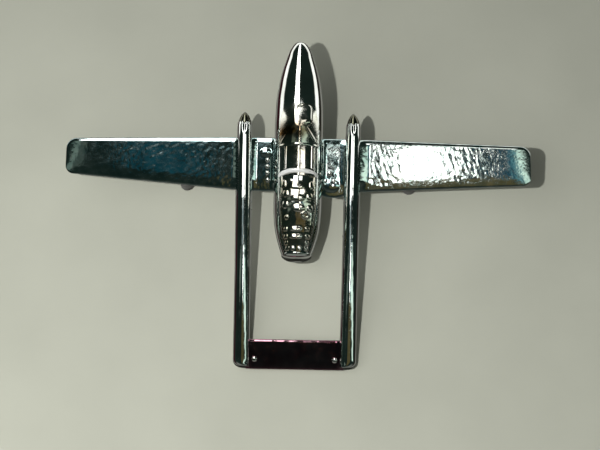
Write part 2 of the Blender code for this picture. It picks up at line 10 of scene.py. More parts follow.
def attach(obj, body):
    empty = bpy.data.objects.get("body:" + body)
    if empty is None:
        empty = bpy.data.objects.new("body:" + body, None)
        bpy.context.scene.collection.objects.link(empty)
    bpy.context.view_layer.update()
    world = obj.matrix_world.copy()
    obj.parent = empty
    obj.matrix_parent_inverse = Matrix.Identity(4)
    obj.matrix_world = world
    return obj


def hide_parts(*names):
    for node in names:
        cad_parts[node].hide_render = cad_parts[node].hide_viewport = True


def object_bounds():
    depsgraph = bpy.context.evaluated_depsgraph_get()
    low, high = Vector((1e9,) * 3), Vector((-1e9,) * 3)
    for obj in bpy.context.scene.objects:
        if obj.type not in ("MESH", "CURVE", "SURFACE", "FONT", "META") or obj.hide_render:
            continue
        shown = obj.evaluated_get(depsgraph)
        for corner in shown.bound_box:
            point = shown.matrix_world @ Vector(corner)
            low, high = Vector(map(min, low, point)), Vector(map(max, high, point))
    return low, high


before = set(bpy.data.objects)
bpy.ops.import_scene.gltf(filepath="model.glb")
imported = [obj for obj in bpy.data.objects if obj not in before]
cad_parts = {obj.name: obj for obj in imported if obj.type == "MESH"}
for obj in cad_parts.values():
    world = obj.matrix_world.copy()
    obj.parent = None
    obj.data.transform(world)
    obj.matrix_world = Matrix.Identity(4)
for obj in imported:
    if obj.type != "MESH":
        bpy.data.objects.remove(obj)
cad_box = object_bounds()

MM = 0.001
BODY = "root"

# ---- the airframe's own frame, in millimetres, pitched nose-up in the row frame ----
POST_REAR = (-7.1, -15.1)        # Y, Z of the posts' resting edge
TAIL_FOOT = (-67.3, -2.6)        # Y, Z of the booms' resting edge
NOSE_POINT = (40.5, 0.4)         # Y, Z of the nose's tip
PITCH = math.atan2(TAIL_FOOT[1] - POST_REAR[1], POST_REAR[0] - TAIL_FOOT[0])


def airframe_matrix():
    """From airframe millimetres to the row frame, lined up on the CAD box's nose and foot."""
    low, high = cad_box
    cos_p, sin_p = math.cos(PITCH), math.sin(PITCH)
    nose_y = (NOSE_POINT[0] * cos_p - NOSE_POINT[1] * sin_p) * MM
    foot_z = (TAIL_FOOT[0] * sin_p + TAIL_FOOT[1] * cos_p) * MM
    place = Matrix.Translation((0.0, high[1] - nose_y, low[2] - foot_z))
    return place @ Matrix.Rotation(PITCH, 4, "X") @ Matrix.Scale(MM, 4)


AIRFRAME = airframe_matrix()


# ---- surfaces ----

RIPPLE_WAVES = 22
MERGE_DISTANCE = 1e-7
SHARP_ANGLE = math.radians(40.0)


def superellipse(angle, half_a, half_b, power):
    """Points of a rounded section; a power of 2 gives an ellipse and more gives a fuller one."""
    c, s = np.cos(angle), np.sin(angle)
    a = np.sign(c) * np.abs(c) ** (2.0 / power) * half_a
    b = np.sign(s) * np.abs(s) ** (2.0 / power) * half_b
    return a, b


def ease(value, low, high):
    """Smooth step from 0 at low to 1 at high."""
    t = np.clip((value - low) / (high - low), 0.0, 1.0)
    return t * t * (3.0 - 2.0 * t)


def through(stations, position):
    """A smooth curve through (position, value) stations, read at many positions."""
    keys = np.array([s[0] for s in stations], float)
    values = np.array([s[1] for s in stations], float)
    order = np.argsort(keys)
    keys, values = keys[order], values[order]
    slopes = np.gradient(values, keys)
    index = np.clip(np.searchsorted(keys, position) - 1, 0, len(keys) - 2)
    width = keys[index + 1] - keys[index]
    t = np.clip((position - keys[index]) / width, 0.0, 1.0)
    square, cube = t * t, t * t * t
    return ((2 * cube - 3 * square + 1) * values[index]
            + (cube - 2 * square + t) * width * slopes[index]
            + (3 * square - 2 * cube) * values[index + 1]
            + (cube - square) * width * slopes[index + 1])


def ripple(points, size, height, seed):
    """Soft random waviness of a casting's surface: a sum of plane waves of about one length."""
    random = np.random.default_rng(seed)
    total = np.zeros(points.shape[:-1])
    for _ in range(RIPPLE_WAVES):
        direction = random.normal(size=3)
        direction *= 2 * math.pi / (size * random.uniform(0.7, 1.5)) / np.linalg.norm(direction)
        total += np.sin(points @ direction + random.uniform(0, 2 * math.pi))
    return total * height / math.sqrt(RIPPLE_WAVES)


def surface_normals(points, closed):
    """Unit normals of a grid of points [ring, around, xyz]."""
    along = np.gradient(points, axis=0)
    if closed:
        around = (np.roll(points, -1, axis=1) - np.roll(points, 1, axis=1)) / 2
    else:
        around = np.gradient(points, axis=1)
    normals = np.cross(around, along)
    length = np.linalg.norm(normals, axis=-1, keepdims=True)
    return normals / np.maximum(length, 1e-9)


def outward(points, normals):
    """Turns the normals to point away from each ring's middle."""
    middle = points.mean(axis=1, keepdims=True)
    sign = np.sign(((points - middle) * normals).sum())
    return normals * (sign if sign else 1.0)


def skin(name, points, material, waviness=0.0, wave_size=3.0, seed=1):
    """A closed piece from rings of points [ring, around, xyz] in airframe millimetres."""
    points = np.array(points, float)
    if waviness:
        normals = outward(points, surface_normals(points, True))
        height = ripple(points, wave_size, waviness, seed)
        fade = np.ones(len(points))
        fade[0] = fade[-1] = 0.0
        points = points + normals * (height * fade[:, None])[..., None]
    rings, around = points.shape[:2]
    vertices = points.reshape(-1, 3)
    ring, step = np.meshgrid(np.arange(rings - 1), np.arange(around), indexing="ij")
    this_ring, next_ring = ring * around, (ring + 1) * around
    next_step = (step + 1) % around
    faces = np.stack([this_ring + step, this_ring + next_step, next_ring + next_step,
                      next_ring + step], axis=-1).reshape(-1, 4).tolist()
    faces.append(list(range(around)))
    faces.append([(rings - 1) * around + n for n in range(around)])
    return piece_from(name, vertices, faces, material)


def piece_from(name, vertices, faces, material):
    """A mesh piece that rides on the body, from points in airframe millimetres."""
    mesh = bpy.data.meshes.new(name)
    mesh.from_pydata([AIRFRAME @ Vector(v) for v in vertices], [], faces)
    builder = bmesh.new()
    builder.from_mesh(mesh)
    bmesh.ops.remove_doubles(builder, verts=builder.verts, dist=MERGE_DISTANCE)
    bmesh.ops.recalc_face_normals(builder, faces=builder.faces)
    builder.to_mesh(mesh)
    builder.free()
    mesh.shade_smooth()
    mesh.set_sharp_from_angle(angle=SHARP_ANGLE)
    mesh.materials.append(material)
    item = bpy.data.objects.new(name, mesh)
    bpy.context.scene.collection.objects.link(item)
    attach(item, BODY)
    return item


def around_angles(count):
    """Angles round a closed ring, half a step off the axes."""
    return 2 * math.pi * (np.arange(count) + 0.5) / count


def spaced(start, stop, count):
    """Even positions from start to stop."""
    return start + (stop - start) * np.linspace(0.0, 1.0, count)


def close_foot(rings, count):
    """Fills each ring's steps from count on with a straight line back to its first point."""
    share = np.linspace(0.0, 1.0, rings.shape[1] - count + 2)[1:-1, None]
    first, last = rings[:, :1], rings[:, count - 1:count]
    rings[:, count:] = last + (first - last) * share


# ---- materials ----

class Nodes:
    """Short-hand for building a node tree."""

    def __init__(self, tree):
        self.tree = tree

    def add(self, kind, **values):
        """A new node; each value is one of its settings or, failing that, of its inputs."""
        node = self.tree.nodes.new(kind)
        for key, value in values.items():
            if hasattr(node, key):
                setattr(node, key, value)
            else:
                node.inputs[key.replace("_", " ")].default_value = value
        return node

    def join(self, source, target):
        self.tree.links.new(source, target)

    def ramp(self, source, stops):
        """A colour ramp; the first two stops are its ends and the rest lie between them."""
        node = self.tree.nodes.new("ShaderNodeValToRGB")
        elements = node.color_ramp.elements
        for index, (position, colour) in enumerate(stops):
            element = elements[index] if index < 2 else elements.new(position)
            element.position = position
            element.color = (*colour, 1.0)
        self.join(source, node.inputs["Fac"])
        return node.outputs["Color"]

    def span(self, source, low, high, to_low=0.0, to_high=1.0):
        """Maps low..high to to_low..to_high and holds the ends."""
        node = self.tree.nodes.new("ShaderNodeMapRange")
        for key, value in (("From Min", low), ("From Max", high),
                           ("To Min", to_low), ("To Max", to_high)):
            node.inputs[key].default_value = value
        self.join(source, node.inputs["Value"])
        return node.outputs["Result"]

    def times(self, first, second):
        """The product of two value sockets."""
        node = self.add("ShaderNodeMath", operation="MULTIPLY")
        self.join(first, node.inputs[0])
        self.join(second, node.inputs[1])
        return node.outputs[0]

    def mix_shaders(self, factor, first, second, target):
        """Joins a mix of two shaders to a target socket."""
        node = self.add("ShaderNodeMixShader")
        for socket, source in zip(node.inputs, (factor, first, second)):
            self.join(source, socket)
        self.join(node.outputs[0], target)

    def blend(self, factor, first, second):
        """Mixes two colours, each a socket or a constant."""
        node = self.tree.nodes.new("ShaderNodeMix")
        node.data_type = "RGBA"
        self.join(factor, node.inputs["Factor"])
        for socket, value in ((node.inputs[6], first), (node.inputs[7], second)):
            if isinstance(value, tuple):
                socket.default_value = (*value, 1.0)
            else:
                self.join(value, socket)
        return node.outputs[2]


CLOUD_SCALE = 3.0                # the tint's clouds against the surface's waves
TINT_STOPS = (0.35, 0.65)
PEEL_DEPTH = 0.00012
PIT_DEPTH = 0.00006
# a brown reflection painted into the plating's colour
PAINTED_BROWN_REFLECTION = (0.17, 0.10, 0.035)
STEEL_STAINS = [(0.35, (0.42, 0.41, 0.37)), (0.65, (0.68, 0.68, 0.66))]
TOOL_MARK_DEPTH = 0.00003


def new_material(name):
    """A material with its node helper and its shader node."""
    material = bpy.data.materials.new(name)
    material.use_nodes = True
    return material, Nodes(material.node_tree), material.node_tree.nodes["Principled BSDF"]


def painted_reflection_share(nodes, generated, cloud, along_piece):
    """How much painted brown reflection the plating takes: most at one place along the piece,
    fading out towards the right, and patchy.
    """
    start, full, end = along_piece
    split = nodes.add("ShaderNodeSeparateXYZ")
    nodes.join(generated, split.inputs[0])
    along = nodes.times(nodes.span(split.outputs["Y"], start, full),
                        nodes.span(split.outputs["Y"], end, full))
    along = nodes.times(along, nodes.span(split.outputs["X"], 0.92, 0.62))
    return nodes.times(along, nodes.span(cloud, 0.3, 0.6, 0.6, 1.3))


def chrome(name, light, dark, wave_mm=2.2, wave=0.35, pit_mm=0.9, pit=0.25, rough=(0.04, 0.13),
           metal=1.0, brown_reflection_span=None):
    """Chrome over a die casting: mottled tint, soft orange peel, small pits, uneven polish.

    The last argument is (start, full, end) along the piece's length, for a brown reflection
    painted into the plating's colour.
    """
    material, nodes, shader = new_material(name)
    shader.inputs["Metallic"].default_value = metal
    coordinates = nodes.add("ShaderNodeTexCoord")
    place = coordinates.outputs["Object"]

    cloud = nodes.add("ShaderNodeTexNoise", Scale=1000 / (wave_mm * CLOUD_SCALE), Detail=4.0)
    nodes.join(place, cloud.inputs["Vector"])
    tint = nodes.ramp(cloud.outputs["Fac"], [(TINT_STOPS[0], dark), (TINT_STOPS[1], light)])
    # paints a brown reflection into the tint over part of the piece
    if brown_reflection_span:
        share = painted_reflection_share(nodes, coordinates.outputs["Generated"], cloud.outputs["Fac"],
                              brown_reflection_span)
        tint = nodes.blend(share, tint, PAINTED_BROWN_REFLECTION)
    nodes.join(tint, shader.inputs["Base Color"])

    haze = nodes.add("ShaderNodeTexNoise", Scale=1000 / wave_mm, Detail=6.0)
    nodes.join(place, haze.inputs["Vector"])
    nodes.join(nodes.span(haze.outputs["Fac"], 0.35, 0.7, *rough), shader.inputs["Roughness"])

    peel = nodes.add("ShaderNodeTexNoise", Scale=1000 / wave_mm, Detail=2.0)
    nodes.join(place, peel.inputs["Vector"])
    swell = nodes.add("ShaderNodeBump", Strength=wave, Distance=PEEL_DEPTH)
    nodes.join(peel.outputs["Fac"], swell.inputs["Height"])

    cells = nodes.add("ShaderNodeTexVoronoi", Scale=1000 / pit_mm, feature="SMOOTH_F1")
    nodes.join(place, cells.inputs["Vector"])
    pits = nodes.add("ShaderNodeBump", Strength=pit, Distance=PIT_DEPTH)
    nodes.join(nodes.span(cells.outputs["Distance"], 0.05, 0.45), pits.inputs["Height"])
    nodes.join(swell.outputs["Normal"], pits.inputs["Normal"])
    nodes.join(pits.outputs["Normal"], shader.inputs["Normal"])
    return material


def turned_steel(name):
    """Plated turned steel: fine tool marks across the axis, a little dulled."""
    material, nodes, shader = new_material(name)
    shader.inputs["Metallic"].default_value = 0.55
    place = nodes.add("ShaderNodeTexCoord").outputs["Object"]
    turn = nodes.add("ShaderNodeMapping")
    turn.inputs["Rotation"].default_value = (-PITCH, 0.0, 0.0)
    nodes.join(place, turn.inputs["Vector"])
    marks = nodes.add("ShaderNodeTexWave", Scale=1500.0, Distortion=1.5, bands_direction="Z")
    nodes.join(turn.outputs["Vector"], marks.inputs["Vector"])
    stain = nodes.add("ShaderNodeTexNoise", Scale=420.0, Detail=5.0)
    nodes.join(place, stain.inputs["Vector"])
    nodes.join(nodes.ramp(stain.outputs["Fac"], STEEL_STAINS), shader.inputs["Base Color"])
    nodes.join(nodes.span(stain.outputs["Fac"], 0.3, 0.7, 0.26, 0.42),
               shader.inputs["Roughness"])
    bump = nodes.add("ShaderNodeBump", Strength=0.25, Distance=TOOL_MARK_DEPTH)
    nodes.join(marks.outputs["Fac"], bump.inputs["Height"])
    nodes.join(bump.outputs["Normal"], shader.inputs["Normal"])
    return material


POD_CHROME = chrome("pod_chrome", (0.84, 0.87, 0.84), (0.68, 0.70, 0.66), wave=0.04, pit=0.02,
                    rough=(0.03, 0.09))
CANOPY_CHROME = chrome("canopy_chrome", (0.82, 0.80, 0.74), (0.58, 0.54, 0.42), wave_mm=1.8,
                       wave=0.08, pit=0.05, rough=(0.07, 0.16))
# the dome's colour carries a painted brown reflection over its rear part
DOME_CHROME = chrome("dome_chrome", (0.84, 0.86, 0.80), (0.62, 0.62, 0.52), wave_mm=1.8,
                     wave=0.10, pit=0.06, rough=(0.08, 0.18), brown_reflection_span=(0.05, 0.34, 0.70))
# the wings' teal dark tint is a painted reflection of coloured surroundings, mottled at random
WING_CHROME = chrome("wing_chrome", (0.78, 0.86, 0.84), (0.40, 0.56, 0.56), wave_mm=1.5,
                     wave=0.06, pit_mm=0.95, pit=0.08, rough=(0.05, 0.11))
RIGHT_CHROME = chrome("right_wing_chrome", (0.80, 0.86, 0.82), (0.46, 0.56, 0.54), wave_mm=1.3,
                      wave=0.09, pit_mm=0.95, pit=0.13, rough=(0.07, 0.15))
BOOM_CHROME = chrome("boom_chrome", (0.84, 0.87, 0.85), (0.60, 0.63, 0.60), wave=0.05, pit=0.03,
                     rough=(0.04, 0.10))
# the tailplane's dark red tint is a painted reflection
TAIL_CHROME = chrome("tail_chrome", (0.44, 0.26, 0.31), (0.28, 0.12, 0.16), wave=0.06, pit=0.05)
# the boom caps' near-black colour is a painted dark reflection
CAP_CHROME = chrome("cap_chrome", (0.20, 0.20, 0.15), (0.09, 0.09, 0.06), wave=0.08, pit=0.05,
                    rough=(0.10, 0.20))
WORN_CHROME = chrome("worn_chrome", (0.97, 0.97, 0.94), (0.88, 0.88, 0.84), wave_mm=0.9, wave=0.1,
                     pit_mm=0.5, pit=0.08, rough=(0.26, 0.36), metal=0.30)
RIVET_CHROME = chrome("rivet_chrome", (0.88, 0.88, 0.85), (0.70, 0.70, 0.66), wave_mm=0.8,
                      wave=0.2, pit_mm=0.4, pit=0.1)
STEEL = turned_steel("plated_steel")


# ---- small raised and sunk details, as heights over a surface ----

BUMP_EDGE = 0.7                  # below 1 for a flatter top and a steeper edge
PANE_POWER = 2.4


def bump_at(x, y, centre, half_size, height, power=4.0):
    """A soft-edged pad over (x, y); a negative height sinks it."""
    across = np.abs((x - centre[0]) / half_size[0]) ** power
    along = np.abs((y - centre[1]) / half_size[1]) ** power
    return height * np.clip(1.0 - across - along, 0.0, 1.0) ** BUMP_EDGE


def pad_at(x, y, centre, half_size, height, wedge):
    """A pad whose top rises towards the rear, to lie level on a falling roof."""
    return bump_at(x, y, centre, half_size, 1.0, PANE_POWER) * (height + wedge * (centre[1] - y))


def ridge_at(distance, half_width, height):
    """A rounded ridge, from the distance to its middle line."""
    return height * np.sqrt(np.clip(1.0 - (distance / half_width) ** 2, 0.0, 1.0))


def ring_at(x, y, centre, radius, half_width, height):
    """A round ridge about a centre."""
    distance = np.hypot(x - centre[0], y - centre[1]) - radius
    return ridge_at(distance, half_width, height)


# ---- the pod ----

POD_WIDTHS = [(40.5, 0.25), (40.05, 1.45), (39.2, 2.35), (37.8, 3.25), (34.4, 4.5), (30.9, 5.6),
              (27.5, 6.45), (24.1, 7.05), (20.7, 7.5), (13.9, 7.85), (0.0, 7.9), (-10.0, 7.85),
              (-18.0, 7.75), (-22.0, 7.5), (-25.4, 6.95), (-28.8, 6.1), (-31.2, 5.35),
              (-32.6, 4.8)]
POD_CENTRE_Z = 0.4
POD_HALF_HEIGHT = 6.95
POD_SHOULDER = (13.9, 7.85)      # Y and half width where the nose starts to narrow
POD_FALL = (16.0, 35.6)          # distances aft between which the tail draws in
POD_REAR_TOP_DROP = 1.75
POD_REAR_BOTTOM_RISE = 3.3
POD_END_Y = -32.45
SEAM_ANGLE = 0.028               # half the parting line between the pod's two halves
POD_ARC_COUNT = 130
POD_FOOT_COUNT = 12
NOSE_STEPS = np.array([0.0, 0.03, 0.08, 0.16, 0.28, 0.45, 0.7, 1.0, 1.4, 1.9, 2.5, 3.2])
NOSE_END_Y = 36.6                # the even rings start here
POD_RING_COUNT = 210


def pod_profile(y):
    """Half width, top and bottom of the pod at many Y."""
    half_width = through(POD_WIDTHS, y)
    share = np.where(y > POD_SHOULDER[0], half_width / POD_SHOULDER[1], 1.0)
    rear = ease(-y, *POD_FALL)
    top = POD_CENTRE_Z + POD_HALF_HEIGHT * share - POD_REAR_TOP_DROP * rear
    bottom = POD_CENTRE_Z - POD_HALF_HEIGHT * share + POD_REAR_BOTTOM_RISE * rear
    return half_width, top, bottom


def pod_rings(ys, low_angle, high_angle):
    """Rings of one half of the pod: an arc of the section, closed by a flat foot."""
    half_width, top, bottom = pod_profile(ys)
    angle = np.linspace(low_angle, high_angle, POD_ARC_COUNT)
    rings = np.zeros((len(ys), POD_ARC_COUNT + POD_FOOT_COUNT, 3))
    rings[:, :, 1] = ys[:, None]
    for n in range(len(ys)):
        a, b = superellipse(angle, half_width[n], (top[n] - bottom[n]) / 2, 2.0)
        rings[n, :POD_ARC_COUNT, 0] = a
        rings[n, :POD_ARC_COUNT, 2] = (top[n] + bottom[n]) / 2 + b
    close_foot(rings, POD_ARC_COUNT)
    return rings


def build_pod():
    ys = np.concatenate([NOSE_POINT[0] - NOSE_STEPS,
                         spaced(NOSE_END_Y, POD_END_Y, POD_RING_COUNT)])
    upper_rings = pod_rings(ys, -SEAM_ANGLE, math.pi + SEAM_ANGLE)
    upper = skin("pod_upper_skin", upper_rings, POD_CHROME, 0.010, 5.0, seed=3)
    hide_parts("pod_upper")
    lower_rings = pod_rings(ys, math.pi + 2 * SEAM_ANGLE, 2 * math.pi - 2 * SEAM_ANGLE)
    lower = skin("pod_lower_skin", lower_rings, POD_CHROME, 0.02, 5.0, seed=4)
    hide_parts("pod_lower")


# ---- canopies and fairings along the top ----

ARCH_COUNT = 150
ARCH_FOOT_COUNT = 16
ARCH_EDGE_ANGLE = 0.12           # details fade out this close to a cover's foot


def arch_skin(name, ys, half_width, foot, top, power, detail, waviness, seed, wave_size):
    """An arched cover along Y; detail(x, y) gives heights added along its normals."""
    angle = np.linspace(0.0, math.pi, ARCH_COUNT)
    rings = np.zeros((len(ys), ARCH_COUNT + ARCH_FOOT_COUNT, 3))
    rings[:, :, 1] = ys[:, None]
    for n in range(len(ys)):
        a, b = superellipse(angle, half_width[n], top[n] - foot[n], power)
        rings[n, :ARCH_COUNT, 0] = a
        rings[n, :ARCH_COUNT, 2] = foot[n] + np.abs(b)
    close_foot(rings, ARCH_COUNT)
    arch = rings[:, :ARCH_COUNT]
    normals = outward(arch, surface_normals(arch, False))
    height = detail(arch[..., 0], arch[..., 1]) + ripple(arch, wave_size, waviness, seed)
    edge = np.clip(np.minimum(angle, math.pi - angle) / ARCH_EDGE_ANGLE, 0.0, 1.0)
    rings[:, :ARCH_COUNT] = arch + normals * (height * edge[None, :])[..., None]
    return skin(name, rings, CANOPY_CHROME)


DOME_FRONT_Y = 17.1
DOME_REAR_Y = 2.4
DOME_RISE = [(17.2, 0.0), (15.9, 0.10), (14.4, 0.45), (12.8, 0.92), (11.4, 1.15), (8.0, 0.95),
             (5.0, 0.55), (2.4, 0.25)]
DOME_HALF_WIDTHS = [(17.2, 4.6), (14.4, 5.6), (9.0, 6.3), (2.4, 6.3)]
DOME_LIFT = 0.015                # clear of the pod's surface
DOME_SKIRT = 0.3                 # how far the cover reaches below the pod's surface
DOME_FLAT = (1.4, 12.9)          # the cover is worn nearly flat here and leans to the left
DOME_FLAT_SIZE = (3.0, 3.8)
DOME_FLAT_CURVE = 15.7           # twice the radius that is levelled out
DOME_FLAT_LEAN = 0.20
FRAME_LINE_START = (1.7, 9.8)
FRAME_LINE_SLOPE = 0.72          # how fast the windscreen frame spreads sideways going aft
FRAME_LINE_HEIGHTS = (0.04, 0.15)   # on the left, and on the right
REAR_BOW_Y = 3.0


def dome_detail(x, y):
    """A raked windscreen frame, sharper on the right, and a low rear bow."""
    start_x, start_y = FRAME_LINE_START
    frame_x = start_x + (start_y - y) * FRAME_LINE_SLOPE
    worn = np.where(x > 0, FRAME_LINE_HEIGHTS[1], FRAME_LINE_HEIGHTS[0])
    height = worn * ridge_at((np.abs(x) - frame_x) * 0.9, 0.38, 1.0) * (y < start_y)
    across = x - DOME_FLAT[0]
    levelled = across ** 2 / DOME_FLAT_CURVE + DOME_FLAT_LEAN * across
    height = height + bump_at(x, y, DOME_FLAT, DOME_FLAT_SIZE, 1.0) * levelled
    return height + ridge_at(y - REAR_BOW_Y, 0.4, 0.08)


def build_dome():
    """The cockpit cover: a swelling that rises out of the pod's own section without an edge."""
    ys = spaced(DOME_FRONT_Y, DOME_REAR_Y, 120)
    pod_half, pod_top, pod_bottom = pod_profile(ys)
    rise = through(DOME_RISE, ys)
    half_width = through(DOME_HALF_WIDTHS, ys)
    angle = np.linspace(0.0, math.pi, ARCH_COUNT)
    across = np.linspace(0.0, 1.0, ARCH_FOOT_COUNT + 2)[1:-1]
    rings = np.zeros((len(ys), ARCH_COUNT + ARCH_FOOT_COUNT, 3))
    rings[:, :, 1] = ys[:, None]
    for n in range(len(ys)):
        x = half_width[n] * np.cos(angle)
        on_pod = np.sqrt(1.0 - (x / pod_half[n]) ** 2) * (pod_top[n] - pod_bottom[n]) / 2
        swelling = rise[n] * np.sin(angle) ** 3
        z = (pod_top[n] + pod_bottom[n]) / 2 + on_pod + swelling + DOME_LIFT
        rings[n, :ARCH_COUNT, 0] = x
        rings[n, :ARCH_COUNT, 2] = z + dome_detail(x, np.full(x.shape, ys[n]))
        rings[n, ARCH_COUNT:, 0] = x[-1] + (x[0] - x[-1]) * across
        rings[n, ARCH_COUNT:, 2] = z[0] - DOME_SKIRT
    dome = skin("cockpit_canopy_skin", rings, DOME_CHROME, 0.006, 4.0, seed=5)
    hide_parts("cockpit_canopy")


SPINE_FRONT_Y, SPINE_END_Y = 2.42, -7.4
SPINE_FOOT = 4.9
SPINE_HALF_WIDTH = 5.7
SPINE_TOPS = [(2.4, 7.95), (1.4, 7.93), (-3.0, 7.93), (-7.4, 7.93)]
CREASE_X, CREASE_END_Y = 4.6, -5.0
SPINE_FALL = 0.17                # how fast the top falls away on the left
SPINE_CREST_X = 0.12


def spine_detail(x, y):
    """Two creases along the fairing; the left side of its top falls away a little."""
    height = ridge_at(np.abs(x) - CREASE_X, 0.45, 0.20) * (y > CREASE_END_Y)
    return height - SPINE_FALL * np.clip(SPINE_CREST_X - x, 0.0, 3.6)


def build_spine():
    ys = spaced(SPINE_FRONT_Y, SPINE_END_Y, 90)
    half_width = np.full(len(ys), SPINE_HALF_WIDTH)
    foot = np.full(len(ys), SPINE_FOOT)
    spine = arch_skin("spine_fairing_skin", ys, half_width, foot, through(SPINE_TOPS, ys), 2.2,
                      spine_detail, 0.006, 6, 4.0)
    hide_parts("spine_fairing")


AFT_FRONT_Y, AFT_END_Y = -7.38, -23.6
AFT_TOPS = [(-7.4, 6.9), (-9.0, 7.3), (-12.0, 7.75), (-15.0, 7.8), (-19.5, 7.5), (-23.6, 7.0)]
AFT_HALF_WIDTHS = [(-7.4, 5.9), (-14.0, 6.1), (-19.0, 6.0), (-23.6, 5.6)]
AFT_FEET = [(-7.4, 4.2), (-23.6, 3.6)]
AFT_PANES = [((-0.3, -10.6), (2.7, 1.6)), ((0.1, -15.0), (2.3, 1.2)), ((0.4, -18.3), (2.0, 1.3)),
             ((-3.9, -13.6), (0.9, 1.2)), ((3.9, -14.6), (0.9, 1.3)), ((-4.0, -17.2), (0.9, 1.3)),
             ((4.0, -18.4), (0.9, 1.2)), ((-4.6, -10.2), (0.8, 1.4)), ((4.5, -10.6), (0.8, 1.4))]
AFT_PANE_HEIGHT = 0.24
AFT_WEDGE = 0.10
AFT_WEDGE_GROWS = (11.0, 18.0)   # distances aft between which the panes start to be levelled
HATCH_RING = (2.6, -20.6)
HATCH_KNOB = (-3.5, -21.4)


def aft_detail(x, y):
    """Raised panes between sunk frames, a ring hatch and a knob."""
    height = np.zeros(x.shape)
    for centre, half_size in AFT_PANES:
        wedge = AFT_WEDGE * float(ease(np.float64(-centre[1]), *AFT_WEDGE_GROWS))
        height = np.maximum(height, pad_at(x, y, centre, half_size, AFT_PANE_HEIGHT, wedge))
    height = height + ring_at(x, y, HATCH_RING, 1.0, 0.42, 0.26)
    return height + bump_at(x, y, HATCH_KNOB, (0.75, 0.85), 0.34, 2.0)


def build_aft_canopy():
    ys = spaced(AFT_FRONT_Y, AFT_END_Y, 190)
    aft = arch_skin("aft_canopy_skin", ys, through(AFT_HALF_WIDTHS, ys), through(AFT_FEET, ys),
                    through(AFT_TOPS, ys), 2.3, aft_detail, 0.012, 7, 2.2)
    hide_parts("aft_canopy")


WINDOW_FRONT_Y = -23.58
WINDOW_TOPS = [(-23.6, 7.0), (-27.0, 6.5), (-30.0, 5.95), (-32.6, 5.4)]
WINDOW_HALF_WIDTHS = [(-23.6, 5.6), (-28.0, 4.9), (-32.6, 3.9)]
WINDOW_FEET = [(-23.6, 3.6), (-32.6, 2.6)]
WINDOW_PANES = [(-25.1, -3.7, 0.7), (-25.1, -0.3, 1.9), (-25.1, 3.3, 0.75),
                (-27.5, -3.6, 0.7), (-27.5, -0.4, 2.1), (-27.5, 3.4, 0.85),
                (-29.5, -3.4, 0.6), (-29.5, 3.2, 0.7),
                (-31.3, -3.1, 0.7), (-31.3, -1.3, 0.8), (-31.3, 0.9, 0.8), (-31.3, 3.0, 0.75)]
WINDOW_PANE_HALF_LENGTH = 0.8
WINDOW_PANE_HEIGHT = 0.26
WINDOW_WEDGE = 0.22


def window_detail(x, y):
    """Rows of small raised panes with level tops."""
    height = np.zeros(x.shape)
    for row, column, half_width in WINDOW_PANES:
        pane = pad_at(x, y, (column, row), (half_width, WINDOW_PANE_HALF_LENGTH),
                      WINDOW_PANE_HEIGHT, WINDOW_WEDGE)
        height = np.maximum(height, pane)
    return height


def build_tail_window():
    ys = spaced(WINDOW_FRONT_Y, POD_END_Y, 130)
    rear = arch_skin("tail_window_skin", ys, through(WINDOW_HALF_WIDTHS, ys),
                     through(WINDOW_FEET, ys), through(WINDOW_TOPS, ys), 2.4, window_detail,
                     0.010, 8, 2.0)
    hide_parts("tail_window_frame")


BAR_COUNT = 28


def tube(name, path, radius, material):
    """A round bar along a path of points, closed at both ends."""
    path = np.array(path, float)
    along = np.gradient(path, axis=0)
    along /= np.linalg.norm(along, axis=1, keepdims=True)
    side = np.cross(along, (0.0, 1.0, 0.0))
    side /= np.linalg.norm(side, axis=1, keepdims=True)
    up = np.cross(side, along)
    angle = around_angles(BAR_COUNT)
    rings = path[:, None, :] + radius * (np.cos(angle)[None, :, None] * side[:, None, :]
                                         + np.sin(angle)[None, :, None] * up[:, None, :])
    return skin(name, rings, material, 0.02, 2.0, seed=9)


HOOP_RADIUS = 0.74
HOOP_HALF_WIDTH = 6.2
HOOP_TOP_Z = 7.9
HOOP_FOOT_Z = 1.6
HOOP_TOP_Y = -5.9
HOOP_LEAN = 1.9                  # how far aft of the top its feet stand


def build_hoop():
    """The raised bow that closes the spine fairing, leaning back towards its feet."""
    angle = np.linspace(0.0, math.pi, 90)
    rise = HOOP_TOP_Z - HOOP_FOOT_Z
    a, b = superellipse(angle, HOOP_HALF_WIDTH, rise, 2.25)
    y = HOOP_TOP_Y - HOOP_LEAN * (1 - np.abs(b) / rise) ** 1.3
    path = np.stack([a, y, HOOP_FOOT_Z + np.abs(b)], axis=-1)
    tube("spine_bow", path, HOOP_RADIUS, WORN_CHROME)


# how far aft of the pod's end, and which share of its size
TAIL_CAP_STATIONS = [(0.0, 1.0), (0.25, 1.012), (0.55, 1.0), (0.9, 0.955), (1.25, 0.87),
                     (1.55, 0.76), (1.78, 0.65), (1.86, 0.58), (1.80, 0.51), (1.66, 0.46),
                     (1.60, 0.38), (1.60, 0.1)]


def build_tail_cap():
    """The cap that closes the pod: a rolled rim round a shallow dish."""
    half_width, top, bottom = [float(v[0]) for v in pod_profile(np.array([POD_END_Y]))]
    angle = around_angles(120)
    rings = []
    for back, share in TAIL_CAP_STATIONS:
        a, b = superellipse(angle, half_width * share, (top - bottom) / 2 * share, 2.15)
        y = np.full(len(a), POD_END_Y - back)
        rings.append(np.stack([a, y, (top + bottom) / 2 + b], axis=-1))
    cap = skin("tail_cap_skin", np.array(rings), POD_CHROME, 0.01, 2.0, seed=11)
    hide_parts("tail_cap")


# ---- wings ----

